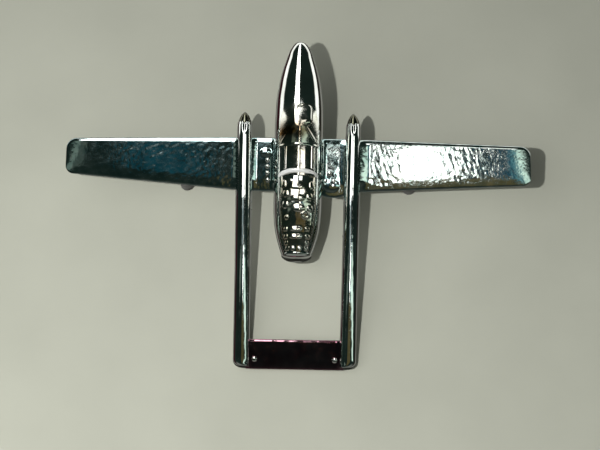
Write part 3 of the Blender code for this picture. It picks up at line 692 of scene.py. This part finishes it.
CREST_SHARE = 0.10               # where the wing is thickest, as a share of its chord
WING_ROOT_FRONT, WING_ROOT_REAR = 7.2, -10.8
WING_TIP_FRONT = 5.4
WING_TIP_REAR = {-1: -6.5, 1: -7.8}   # the right panel tapers less
WING_ROOT_HALF, WING_TIP_HALF = 1.58, 1.24
TIP_DROOP_LENGTH = 8.5           # the tip thins to a rounded edge over this length
TIP_HALF_LEFT = 0.07             # share of the thickness left at the very tip
BOOM_X = 17.9
SPAN_HALF = 76.0
DIHEDRAL = math.radians(1.5)
REAR_DROP = 0.80                 # share of the thickness lost along the flat rear of the top
REAR_CURL = 0.90                 # further fall close to the rear edge
REAR_CURL_START = 0.66
UNDER_DROP = 0.50                # the same for the flatter underside
TAIL_ROUNDING = 0.045            # share of the chord over which the rear edge is rounded
FRONT_TIP_RADIUS, REAR_TIP_RADIUS = 3.4, 2.6
SECTION_COUNT = 132
PANEL_START_X = 18.6
PANEL_FINE_X = (26.0, 66.0)      # between the boom fillet and the tip the rings are even
FILLET_START_X = 20.4
BOOM_FILLETS = {-1: (0.25, 1.4), 1: (0.75, 3.2)}   # height and reach out along the panel
WING_RIPPLES = {-1: 0.005, 1: 0.010}
RIPPLE_SIZE = 1.9
RIPPLE_FRONT_Y = 5.8             # the rounded front edge stays smooth


def rear_slope(along):
    """Share of the crest's height left at a share of the chord behind the front edge."""
    behind = np.clip((along - CREST_SHARE) / (1 - CREST_SHARE), 0.0, 1.0)
    curl = np.clip(behind - REAR_CURL_START, 0.0, 1.0)
    return 1.0 - REAR_DROP * behind - REAR_CURL * curl ** 2


def wing_section(front, rear, half):
    """A round-nosed section: Y and Z from the wing's middle plane, all the way round."""
    angle = around_angles(SECTION_COUNT)
    along = (1 - np.cos(angle)) / 2
    nose = np.clip(along / CREST_SHARE, 0.0, 1.0)
    rounded_nose = np.sqrt(np.clip(1.0 - (1.0 - nose) ** 2, 0.0, 1.0))
    slope = rear_slope(along)
    tail = np.clip((1.0 - along) / TAIL_ROUNDING, 0.0, 1.0)
    rounded_tail = np.sqrt(np.clip(1.0 - (1.0 - tail) ** 2, 0.0, 1.0))
    slope = np.where(np.sin(angle) > 0, slope, 1.0 - UNDER_DROP * along)
    z = half * rounded_nose * slope * rounded_tail * np.sign(np.sin(angle))
    y = front - (front - rear) * along
    return y, z


def corner_inset(distance, radius):
    """How far a rounded plan corner draws in, at a distance from the tip."""
    short = np.clip(radius - distance, 0.0, radius)
    return radius - math.sqrt(max(radius * radius - short * short, 0.0))


def chord_fade(y):
    """1 over the middle of the wing's chord, falling to 0 at its edges."""
    return ease(y, 7.2, 4.4) * ease(y, -10.4, -7.0)


def wing_rings(xs, side):
    """Rings of one outer panel, with a fillet up to its boom."""
    fillet_height, fillet_reach = BOOM_FILLETS[side]
    rings = np.zeros((len(xs), SECTION_COUNT, 3))
    for n, x in enumerate(xs):
        t = min(max((x - BOOM_X) / (SPAN_HALF - BOOM_X), 0.0), 1.0)
        front = WING_ROOT_FRONT + (WING_TIP_FRONT - WING_ROOT_FRONT) * t
        rear = WING_ROOT_REAR + (WING_TIP_REAR[side] - WING_ROOT_REAR) * t
        half = WING_ROOT_HALF + (WING_TIP_HALF - WING_ROOT_HALF) * t
        to_tip = SPAN_HALF - x
        front -= corner_inset(to_tip, FRONT_TIP_RADIUS)
        rear += corner_inset(to_tip, REAR_TIP_RADIUS)
        droop = min(max(1.0 - to_tip / TIP_DROOP_LENGTH, 0.0), 1.0)
        rounded = math.sqrt(max(1.0 - droop ** 2.2, 0.0))
        half *= rounded * (1.0 - TIP_HALF_LEFT) + TIP_HALF_LEFT * (to_tip > 0)
        y, z = wing_section(front, rear, half)
        fillet = fillet_height * max(0.0, 1 - (x - FILLET_START_X) / fillet_reach) ** 2
        lift = fillet * chord_fade(y)
        z = np.where(z > 0, z + lift, z)
        rise = max(0.0, x - BOOM_X) * math.tan(DIHEDRAL)
        rings[n, :, 0] = side * x
        rings[n, :, 1] = y
        rings[n, :, 2] = z + rise
    return rings


def build_wings():
    """The outer panels; the waviness of their tops fades towards the tips."""
    fine_start, fine_end = PANEL_FINE_X
    xs = np.concatenate([spaced(PANEL_START_X, fine_start, 40),
                         np.linspace(fine_start, fine_end, 200)[1:],
                         spaced(fine_end, SPAN_HALF, 90)[1:]])
    for side, label, finish in ((-1, "left", WING_CHROME), (1, "right", RIGHT_CHROME)):
        rings = wing_rings(xs, side)
        height = ripple(rings, RIPPLE_SIZE, WING_RIPPLES[side], 20 + side)
        if side > 0:
            height *= (1.0 - 0.6 * ease(xs, 29.0, 36.0) * ease(xs, 52.0, 46.0))[:, None]
        height *= (1.0 - 0.9 * ease(xs, 50.0, 70.0))[:, None]
        rings[..., 2] += height * (rings[..., 1] < RIPPLE_FRONT_Y)
        wing = skin(f"wing_{label}_skin", rings, finish)
        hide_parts(f"wing_{label}")


CENTRE_REAR = -10.9
CENTRE_END_X = 16.6
POD_SIDE_X, BOOM_SIDE_X = 7.6, 15.4   # where the inner wing meets the pod and the booms
POD_FILLET, POD_FILLET_REACH = 1.2, 1.7
LEFT_BOOM_FILLET, RIGHT_BOOM_FILLET, CENTRE_FILLET_REACH = 0.65, 0.25, 2.0
RIGHT_BULGE = 1.9                # the casting runs further back at the right root
RIGHT_BULGE_X, RIGHT_BULGE_HALF_WIDTH = 11.4, 4.4
WING_PATCHES = [((-10.6, 1.7), (2.0, 1.3), 0.40),
                ((10.9, -8.9), (2.6, 2.2), 0.30)]


def fillet_share(gap, reach):
    """1 at the neighbour's side, falling to 0 at the fillet's reach from it."""
    return max(0.0, 1.0 - gap / reach) ** 2 if gap > 0 else 1.0


def build_wing_centre():
    """The inner wing, blended up into the pod and the booms."""
    xs = np.linspace(-CENTRE_END_X, CENTRE_END_X, 240)
    rings = np.zeros((len(xs), SECTION_COUNT, 3))
    for n, x in enumerate(xs):
        off_bulge = (x - RIGHT_BULGE_X) / RIGHT_BULGE_HALF_WIDTH
        bulge = RIGHT_BULGE * max(0.0, 1.0 - off_bulge ** 2) ** 0.5
        y, z = wing_section(WING_ROOT_FRONT, CENTRE_REAR - bulge, WING_ROOT_HALF)
        pod_lift = POD_FILLET * fillet_share(abs(x) - POD_SIDE_X, POD_FILLET_REACH)
        boom_fillet = LEFT_BOOM_FILLET if x < 0 else RIGHT_BOOM_FILLET
        boom_lift = boom_fillet * fillet_share(BOOM_SIDE_X - abs(x), CENTRE_FILLET_REACH)
        lift = (pod_lift + boom_lift) * chord_fade(y)
        rings[n, :, 0] = x
        rings[n, :, 1] = y
        rings[n, :, 2] = np.where(z > 0, z + lift, z)
    for centre, half_size, height in WING_PATCHES:
        x, y, z = rings[..., 0], rings[..., 1], rings[..., 2]
        rings[..., 2] = np.where(z > 0, z + bump_at(x, y, centre, half_size, height, 2.2), z)
    wing = skin("wing_center_skin", rings, WING_CHROME, 0.005, 2.6, seed=24)
    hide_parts("wing_center")


# ---- booms, caps and tailplane ----

BOOM_TAIL_X = 16.95
BOOM_FRONT_Y, BOOM_END_Y = 11.9, -69.1
CAP_TIP_Y = 15.7
BOOM_WIDTHS = [(11.9, 2.3), (9.0, 2.45), (4.0, 2.55), (-40.0, 2.6), (-69.1, 2.7)]
BOOM_TOPS = [(11.9, 2.7), (10.6, 3.3), (9.0, 3.65), (4.0, 3.8), (-36.0, 3.75), (-42.0, 3.6),
             (-69.1, 2.55)]
BOOM_BOTTOMS = [(11.9, -1.9), (9.0, -2.1), (0.0, -2.2), (-45.0, -2.3), (-60.0, -2.6),
                (-69.1, -2.6)]
BOOM_FINE_Y = (8.5, -62.0)       # between the slotted nose and the tail the rings are even
BOOM_CORNER_RADIUS = 2.2         # rounding of the tail end's outer corner, in plan
BOOM_END_RADIUS = 0.7
LIP_Y, LIP_LENGTH, LIP_HEIGHT = 10.9, 0.55, 0.06
BOOM_SLOT_DEPTH = 0.45           # a shallow groove along the top of each boom's nose
BOOM_SLOT_HALF = 0.5
BOOM_SLOT_FADE = (7.4, 10.0)
NIBS = [(-1, 1, -15.1), (1, -1, -15.0), (1, -1, -26.0), (-1, 1, -17.6)]   # boom, side, Y
NIB_OFFSET, NIB_Z, NIB_RADIUS = 2.35, 1.5, 0.45


def boom_x(y):
    """Distance of a boom's middle line from the pod's; the booms draw in towards the tail."""
    return BOOM_X + (BOOM_TAIL_X - BOOM_X) * (CAP_TIP_Y - y) / (CAP_TIP_Y - BOOM_END_Y)


def boom_rings(side):
    fine_start, fine_end = BOOM_FINE_Y
    ys = np.concatenate([spaced(BOOM_FRONT_Y, fine_start, 40),
                         np.linspace(fine_start, fine_end, 260)[1:],
                         spaced(fine_end, BOOM_END_Y, 60)[1:]])
    half_width = through(BOOM_WIDTHS, ys)
    top = through(BOOM_TOPS, ys)
    bottom = through(BOOM_BOTTOMS, ys)
    angle = around_angles(112)
    rings = np.zeros((len(ys), len(angle), 3))
    for n, y in enumerate(ys):
        to_end = y - BOOM_END_Y
        outer_cut = corner_inset(to_end, BOOM_CORNER_RADIUS)
        end_round = corner_inset(to_end, BOOM_END_RADIUS)
        lip = LIP_HEIGHT * math.exp(-((y - LIP_Y) / LIP_LENGTH) ** 2)
        low_x = boom_x(y) - half_width[n] + 0.3 * end_round - lip
        high_x = boom_x(y) + half_width[n] - outer_cut + lip
        a, b = superellipse(angle, (high_x - low_x) / 2,
                            (top[n] - bottom[n]) / 2 - 0.4 * end_round + lip, 2.15)
        rings[n, :, 0] = side * ((low_x + high_x) / 2 + a)
        rings[n, :, 1] = y
        slot_depth = BOOM_SLOT_DEPTH * float(ease(np.float64(y), *BOOM_SLOT_FADE))
        groove = slot_depth * np.exp(-(a / BOOM_SLOT_HALF) ** 2)
        rings[n, :, 2] = (top[n] + bottom[n]) / 2 + b - groove * (b > 0)
    return rings


def build_booms():
    for side, label in ((-1, "left"), (1, "right")):
        boom = skin(f"boom_{label}_skin", boom_rings(side), BOOM_CHROME, 0.005, 4.0,
                    seed=30 + side)
        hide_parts(f"boom_{label}")
        build_boom_cap(side, label)
    for index, (side, towards, y) in enumerate(NIBS):
        edge = side * boom_x(y) + towards * NIB_OFFSET
        dome_piece(f"boom_nib_{index}", (edge, y, NIB_Z), NIB_RADIUS, NIB_RADIUS, 0.0, BOOM_CHROME)


CAP_ROOT_Y = 11.7
CAP_RADIUS = 2.12
CAP_ROOT_Z = 0.45


def build_boom_cap(side, label):
    """A pointed cap on the boom's front."""
    t = np.concatenate([np.linspace(0.0, 0.9, 60), 1.0 - np.geomspace(0.1, 0.0008, 24)[1:]])
    grow = (1.0 - t ** 1.75) ** 0.72
    angle = around_angles(96)
    rings = np.zeros((len(t), len(angle), 3))
    for n, share in enumerate(grow):
        a, b = superellipse(angle, CAP_RADIUS * share, CAP_RADIUS * share, 2.05)
        rings[n, :, 0] = side * boom_x(CAP_ROOT_Y) + a
        rings[n, :, 1] = CAP_ROOT_Y + (CAP_TIP_Y - CAP_ROOT_Y) * t[n]
        rings[n, :, 2] = CAP_ROOT_Z + 0.1 * (1 - share) + b
    cap = skin(f"boom_cap_{label}_skin", rings, CAP_CHROME, 0.01, 1.8, seed=40 + side)
    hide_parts(f"boom_cap_{label}")


TAIL_FRONT_Y, TAIL_REAR_Y = -60.0, -69.6
TAIL_HALF = 1.15
TAIL_END_X = 15.6
TAIL_FILLET_X, TAIL_FILLET_REACH = 14.4, 1.4


def build_tailplane():
    xs = np.linspace(-TAIL_END_X, TAIL_END_X, 170)
    rings = np.zeros((len(xs), SECTION_COUNT, 3))
    for n, x in enumerate(xs):
        y, z = wing_section(TAIL_FRONT_Y, TAIL_REAR_Y, TAIL_HALF)
        near_boom = fillet_share(TAIL_FILLET_X - abs(x), TAIL_FILLET_REACH)
        rings[n, :, 0] = x
        rings[n, :, 1] = y
        rings[n, :, 2] = np.where(z > 0, z + 0.5 * near_boom * np.clip(z, 0, 1), z)
    tail = skin("tailplane_skin", rings, TAIL_CHROME, 0.009, 3.0, seed=50)
    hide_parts("tailplane")


# ---- posts, rivets and screws ----

POST_X, POST_Y, POST_RADIUS, POST_END_Z = 37.0, -5.0, 2.35, -15.1
POST_TOP_Z = 0.6
BORE_RADIUS, BORE_DEPTH = 1.35, 8.0
BORE_RIB = 0.07                  # depth of the ridges down the bore
BORE_STEPS = 25


def turned_skin(name, centre, profile, material, count=72):
    """A turned piece standing on Z from (radius, z) steps."""
    angle = around_angles(count)
    rings = [np.stack([centre[0] + radius * np.cos(angle), centre[1] + radius * np.sin(angle),
                       np.full(count, z)], axis=-1) for radius, z in profile]
    return skin(name, np.array(rings), material)


def build_posts():
    """Round posts with a ridged bore up from the foot."""
    profile = [(POST_RADIUS * 0.5, POST_TOP_Z + 0.05), (POST_RADIUS, POST_TOP_Z)]
    for step in np.linspace(0.0, 1.0, 30):
        fall = (POST_END_Z + 0.45 - POST_TOP_Z) * step
        profile.append((POST_RADIUS, POST_TOP_Z - 0.02 + fall))
    profile += [(POST_RADIUS - 0.06, POST_END_Z + 0.2), (POST_RADIUS - 0.25, POST_END_Z),
                (BORE_RADIUS + 0.25, POST_END_Z), (BORE_RADIUS, POST_END_Z + 0.25)]
    for step in range(1, BORE_STEPS + 1):
        depth = 0.25 + (BORE_DEPTH - 0.5) * step / BORE_STEPS
        profile.append((BORE_RADIUS - BORE_RIB * (step % 2), POST_END_Z + depth))
    profile += [(0.6, POST_END_Z + BORE_DEPTH), (0.05, POST_END_Z + BORE_DEPTH + 0.3)]
    for side, label in ((-1, "left"), (1, "right")):
        post = turned_skin(f"post_{label}_skin", (side * POST_X, POST_Y), profile, STEEL)
        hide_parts(f"post_{label}")


def dome_piece(name, centre, radius, height, shank, material):
    """A rivet head; shank is how far it reaches below its seat."""
    turn = np.linspace(0.02, math.pi / 2, 14)
    profile = [(radius * math.sin(a), centre[2] + height * math.cos(a)) for a in turn]
    profile += [(radius * 0.98, centre[2] - 0.08), (radius * 0.55, centre[2] - 0.12),
                (radius * 0.5, centre[2] - 0.15 - shank)]
    return turned_skin(name, centre, profile, material, 40)


LEFT_RIVETS = [(-10.1, -0.8), (-10.1, -2.9), (-10.1, -5.0), (-9.9, -7.4)]
RIGHT_RIVETS = [(10.3, -4.9), (9.0, -7.4), (11.6, -7.4)]
TAIL_RIVETS = [("left", -12.8, -66.6), ("right", 12.8, -66.6)]
WING_RIVET_RADIUS, WING_RIVET_HEIGHT = 0.82, 0.55
TAIL_RIVET_RADIUS, TAIL_RIVET_HEIGHT = 0.95, 0.6
RIVET_SHANK = 1.0


def surface_z(y, front, rear, half):
    """Height of the plain wing section's top at one Y."""
    return half * float(rear_slope((front - y) / (front - rear)))


def build_rivets():
    for label, places in (("left", LEFT_RIVETS), ("right", RIGHT_RIVETS)):
        for index, (x, y) in enumerate(places, start=1):
            seat = surface_z(y, WING_ROOT_FRONT, CENTRE_REAR, WING_ROOT_HALF)
            head = dome_piece(f"wing_rivet_{label}_{index}_skin", (x, y, seat), WING_RIVET_RADIUS,
                              WING_RIVET_HEIGHT, RIVET_SHANK, RIVET_CHROME)
            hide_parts(f"wing_rivet_{label}_{index}")
    for label, x, y in TAIL_RIVETS:
        seat = surface_z(y, TAIL_FRONT_Y, TAIL_REAR_Y, TAIL_HALF)
        head = dome_piece(f"tail_rivet_{label}_skin", (x, y, seat), TAIL_RIVET_RADIUS,
                          TAIL_RIVET_HEIGHT, RIVET_SHANK, RIVET_CHROME)
        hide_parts(f"tail_rivet_{label}")


def finish_screws():
    """The two case screws keep their CAD shapes and take the turned steel."""
    for name in ("belly_screw_front", "belly_screw_rear"):
        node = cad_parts[name]
        node.data.materials.clear()
        node.data.materials.append(STEEL)


build_pod()
build_dome()
build_spine()
build_hoop()
build_aft_canopy()
build_tail_window()
build_tail_cap()
build_wings()
build_wing_centre()
build_booms()
build_tailplane()
build_posts()
build_rivets()
finish_screws()


# ---- floor, light and camera ----

FLOOR_HALF = 3.0
FLOOR_PAINT = [(0.3, (0.465, 0.472, 0.392)), (0.7, (0.505, 0.512, 0.426))]
FAR_FLOOR = (0.47, 0.47, 0.41)   # away from the piece the floor fades into the backdrop
FAR_FLOOR_STARTS = (0.35, 0.95)


def make_floor():
    mesh = bpy.data.meshes.new("floor")
    corners = [(-FLOOR_HALF, -FLOOR_HALF, 0), (FLOOR_HALF, -FLOOR_HALF, 0),
               (FLOOR_HALF, FLOOR_HALF, 0), (-FLOOR_HALF, FLOOR_HALF, 0)]
    mesh.from_pydata(corners, [], [(0, 1, 2, 3)])
    floor = bpy.data.objects.new("floor", mesh)
    floor.location.z = cad_box[0][2]
    bpy.context.scene.collection.objects.link(floor)
    material, nodes, shader = new_material("floor_paint")
    shader.inputs["Roughness"].default_value = 0.6
    shader.inputs["Specular IOR Level"].default_value = 0.2
    place = nodes.add("ShaderNodeTexCoord").outputs["Object"]
    mottle = nodes.add("ShaderNodeTexNoise", Scale=28.0, Detail=5.0)
    nodes.join(place, mottle.inputs["Vector"])
    nodes.join(nodes.ramp(mottle.outputs["Fac"], FLOOR_PAINT), shader.inputs["Base Color"])
    distance = nodes.add("ShaderNodeVectorMath", operation="LENGTH")
    nodes.join(place, distance.inputs[0])
    glow = nodes.add("ShaderNodeEmission")
    glow.inputs["Color"].default_value = (*FAR_FLOOR, 1.0)
    far = nodes.span(distance.outputs["Value"], *FAR_FLOOR_STARTS)
    output = material.node_tree.nodes["Material Output"]
    nodes.mix_shaders(far, shader.outputs[0], glow.outputs[0], output.inputs["Surface"])
    mesh.materials.append(material)
    floor.visible_glossy = False
    floor.visible_diffuse = False


def lamp(name, kind, location, target, energy):
    """A light that reflections don't see."""
    data = bpy.data.lights.new(name, kind)
    data.energy = energy
    item = bpy.data.objects.new(name, data)
    item.location = location
    aim = Vector(target) - Vector(location)
    item.rotation_euler = aim.to_track_quat("-Z", "Y").to_euler()
    item.visible_glossy = False
    bpy.context.scene.collection.objects.link(item)
    return data


def panel(name, corners, colour, strength):
    """A glowing board that only reflections see; it stands for a soft box."""
    mesh = bpy.data.meshes.new(name)
    mesh.from_pydata(corners, [], [(0, 1, 2, 3)])
    item = bpy.data.objects.new(name, mesh)
    bpy.context.scene.collection.objects.link(item)
    material = bpy.data.materials.new(name)
    material.use_nodes = True
    material.node_tree.nodes.clear()
    nodes = Nodes(material.node_tree)
    glow = nodes.add("ShaderNodeEmission", Strength=strength)
    glow.inputs["Color"].default_value = (*colour, 1.0)
    output = nodes.add("ShaderNodeOutputMaterial")
    nodes.join(glow.outputs[0], output.inputs["Surface"])
    mesh.materials.append(material)
    item.visible_camera = False
    item.visible_diffuse = False
    item.visible_shadow = False


# colours against height: 0 is straight down, 0.5 level and 1 straight up
HORIZON_BAND = [(0.0, (0.0, 0.0, 0.0)), (1.0, (0.0, 0.0, 0.0)), (0.41, (0.0, 0.0, 0.0)),
                (0.43, (1.3, 1.3, 1.25)), (0.595, (1.3, 1.3, 1.25)), (0.63, (0.0, 0.0, 0.0))]
SKY = [(0.0, (0.020, 0.020, 0.017)), (1.0, (0.010, 0.018, 0.015)), (0.06, (0.05, 0.05, 0.043)),
       (0.13, (0.28, 0.28, 0.25)), (0.18, (0.28, 0.28, 0.25)), (0.27, (0.020, 0.018, 0.014)),
       (0.46, (0.012, 0.010, 0.008)), (0.52, (0.020, 0.028, 0.024)),
       (0.70, (0.010, 0.018, 0.015))]
MAROON = (0.032, 0.009, 0.012)
BACK_WALL = (0.24, 0.25, 0.23)
BACK_CEILING = (0.055, 0.060, 0.052)


def make_world():
    """A dark room that reflections see; plain and pale to the camera.

    It has a bright band low in front, a dim wall and ceiling behind, a trace of dark red low on
    the left and a pale ring below for the table.
    """
    world = bpy.data.worlds.new("studio")
    world.use_nodes = True
    bpy.context.scene.world = world
    nodes = Nodes(world.node_tree)
    split = nodes.add("ShaderNodeSeparateXYZ")
    nodes.join(nodes.add("ShaderNodeTexCoord").outputs["Generated"], split.inputs["Vector"])
    across, along, up = split.outputs["X"], split.outputs["Y"], split.outputs["Z"]
    height = nodes.span(up, -1.0, 1.0)
    room = nodes.ramp(height, SKY)

    low_left = nodes.times(nodes.span(across, 0.1, -0.5), nodes.span(up, 0.02, -0.12))
    room = nodes.blend(nodes.times(low_left, nodes.span(up, -0.66, -0.50)), room, MAROON)
    behind = nodes.span(along, -0.25, -0.60)
    level = nodes.times(nodes.span(up, -0.30, 0.0), nodes.span(up, 0.62, 0.30))
    room = nodes.blend(nodes.times(behind, level), room, BACK_WALL)
    above = nodes.times(nodes.span(up, 0.45, 0.62), nodes.span(up, 0.97, 0.88))
    room = nodes.blend(nodes.times(behind, above), room, BACK_CEILING)

    in_front = nodes.span(along, 0.285, 0.325)
    band = nodes.blend(in_front, (0.0, 0.0, 0.0), nodes.ramp(height, HORIZON_BAND))
    total = nodes.add("ShaderNodeMix", data_type="RGBA", blend_type="ADD")
    total.inputs["Factor"].default_value = 1.0
    nodes.join(room, total.inputs[6])
    nodes.join(band, total.inputs[7])
    background = world.node_tree.nodes["Background"]
    background.inputs["Strength"].default_value = 1.0
    nodes.join(total.outputs[2], background.inputs["Color"])
    plain = nodes.add("ShaderNodeBackground")
    plain.inputs["Color"].default_value = (*FAR_FLOOR, 1.0)
    camera_sees = nodes.add("ShaderNodeLightPath").outputs["Is Camera Ray"]
    output = world.node_tree.nodes["World Output"]
    nodes.mix_shaders(camera_sees, background.outputs[0], plain.outputs[0],
                      output.inputs["Surface"])


CAMERA_RISE = math.radians(64.3)
CAMERA_ROLL = math.radians(1.13)
CAMERA_DISTANCE = 0.60
CAMERA_TARGET = (0.93, -22.13, 0.0)   # in airframe millimetres
VIEW_WIDTH = 0.1950              # across the picture, at the target
SENSOR = 36.0


def make_camera():
    data = bpy.data.cameras.new("camera")
    data.sensor_width = SENSOR
    data.lens = SENSOR * CAMERA_DISTANCE / VIEW_WIDTH
    data.clip_start = 0.01
    camera = bpy.data.objects.new("camera", data)
    target = AIRFRAME @ Vector(CAMERA_TARGET)
    away = Vector((0.0, -math.cos(CAMERA_RISE), math.sin(CAMERA_RISE)))
    camera.location = target + away * CAMERA_DISTANCE
    turn = (-away).to_track_quat("-Z", "Y")
    camera.rotation_euler = (turn @ Euler((0.0, 0.0, CAMERA_ROLL)).to_quaternion()).to_euler()
    bpy.context.scene.collection.objects.link(camera)
    bpy.context.scene.camera = camera


PANEL_Z = 0.60
# name, low corner, high corner, colour, strength
PANELS = [
    ("strip_front", (-0.20, 0.035), (-0.012, 2.4), (1.0, 1.0, 0.98), 4.5),
    ("strip_rear", (-0.15, -0.016), (-0.020, 0.035), (0.75, 0.95, 1.0), 0.40),
    ("side_light", (0.05, 0.040), (0.19, 0.125), (1.0, 1.0, 0.97), 2.5),
    ("wing_flash", (0.039, -0.066), (0.067, -0.022), (1.0, 1.0, 0.97), 9.0),
    ("flash_edge", (0.004, -0.020), (0.024, 0.002), (1.0, 1.0, 0.95), 1.4),
    ("teal_card", (-0.088, -0.070), (-0.036, -0.030), (0.10, 0.75, 1.0), 0.065),
    ("brown_wall", (-0.02, -0.170), (0.30, -0.070), (1.0, 0.82, 0.36), 0.09),
    ("blue_right", (0.104, -0.078), (0.135, -0.010), (0.10, 0.60, 1.0), 0.10),
    ("teal_right", (0.135, -0.078), (0.175, -0.010), (0.30, 0.85, 1.0), 0.28),
    ("pale_right", (0.175, -0.078), (1.60, -0.010), (0.80, 1.0, 0.88), 1.10),
    ("grey_left", (-0.19, -0.064), (-0.14, -0.014), (0.80, 1.0, 0.85), 0.08),
    ("pale_left", (-0.45, -0.064), (-0.19, -0.014), (0.80, 1.0, 0.85), 0.20),
]


def make_lights():
    wash = lamp("floor_wash", "AREA", (-0.26, -0.19, 0.30), (-0.12, -0.09, 0), 1.05)
    wash.size = 0.50
    key = lamp("key", "SPOT", (-0.097, -0.19, 0.43), (0, 0, 0), 5.7)
    key.shadow_soft_size = 0.006
    key.spot_size = 2.4
    for name, low, high, colour, strength in PANELS:
        panel(name, [(low[0], low[1], PANEL_Z), (high[0], low[1], PANEL_Z),
                     (high[0], high[1], PANEL_Z), (low[0], high[1], PANEL_Z)], colour, strength)


bpy.context.scene.view_settings.view_transform = "Standard"
make_floor()
make_world()
make_lights()
make_camera()
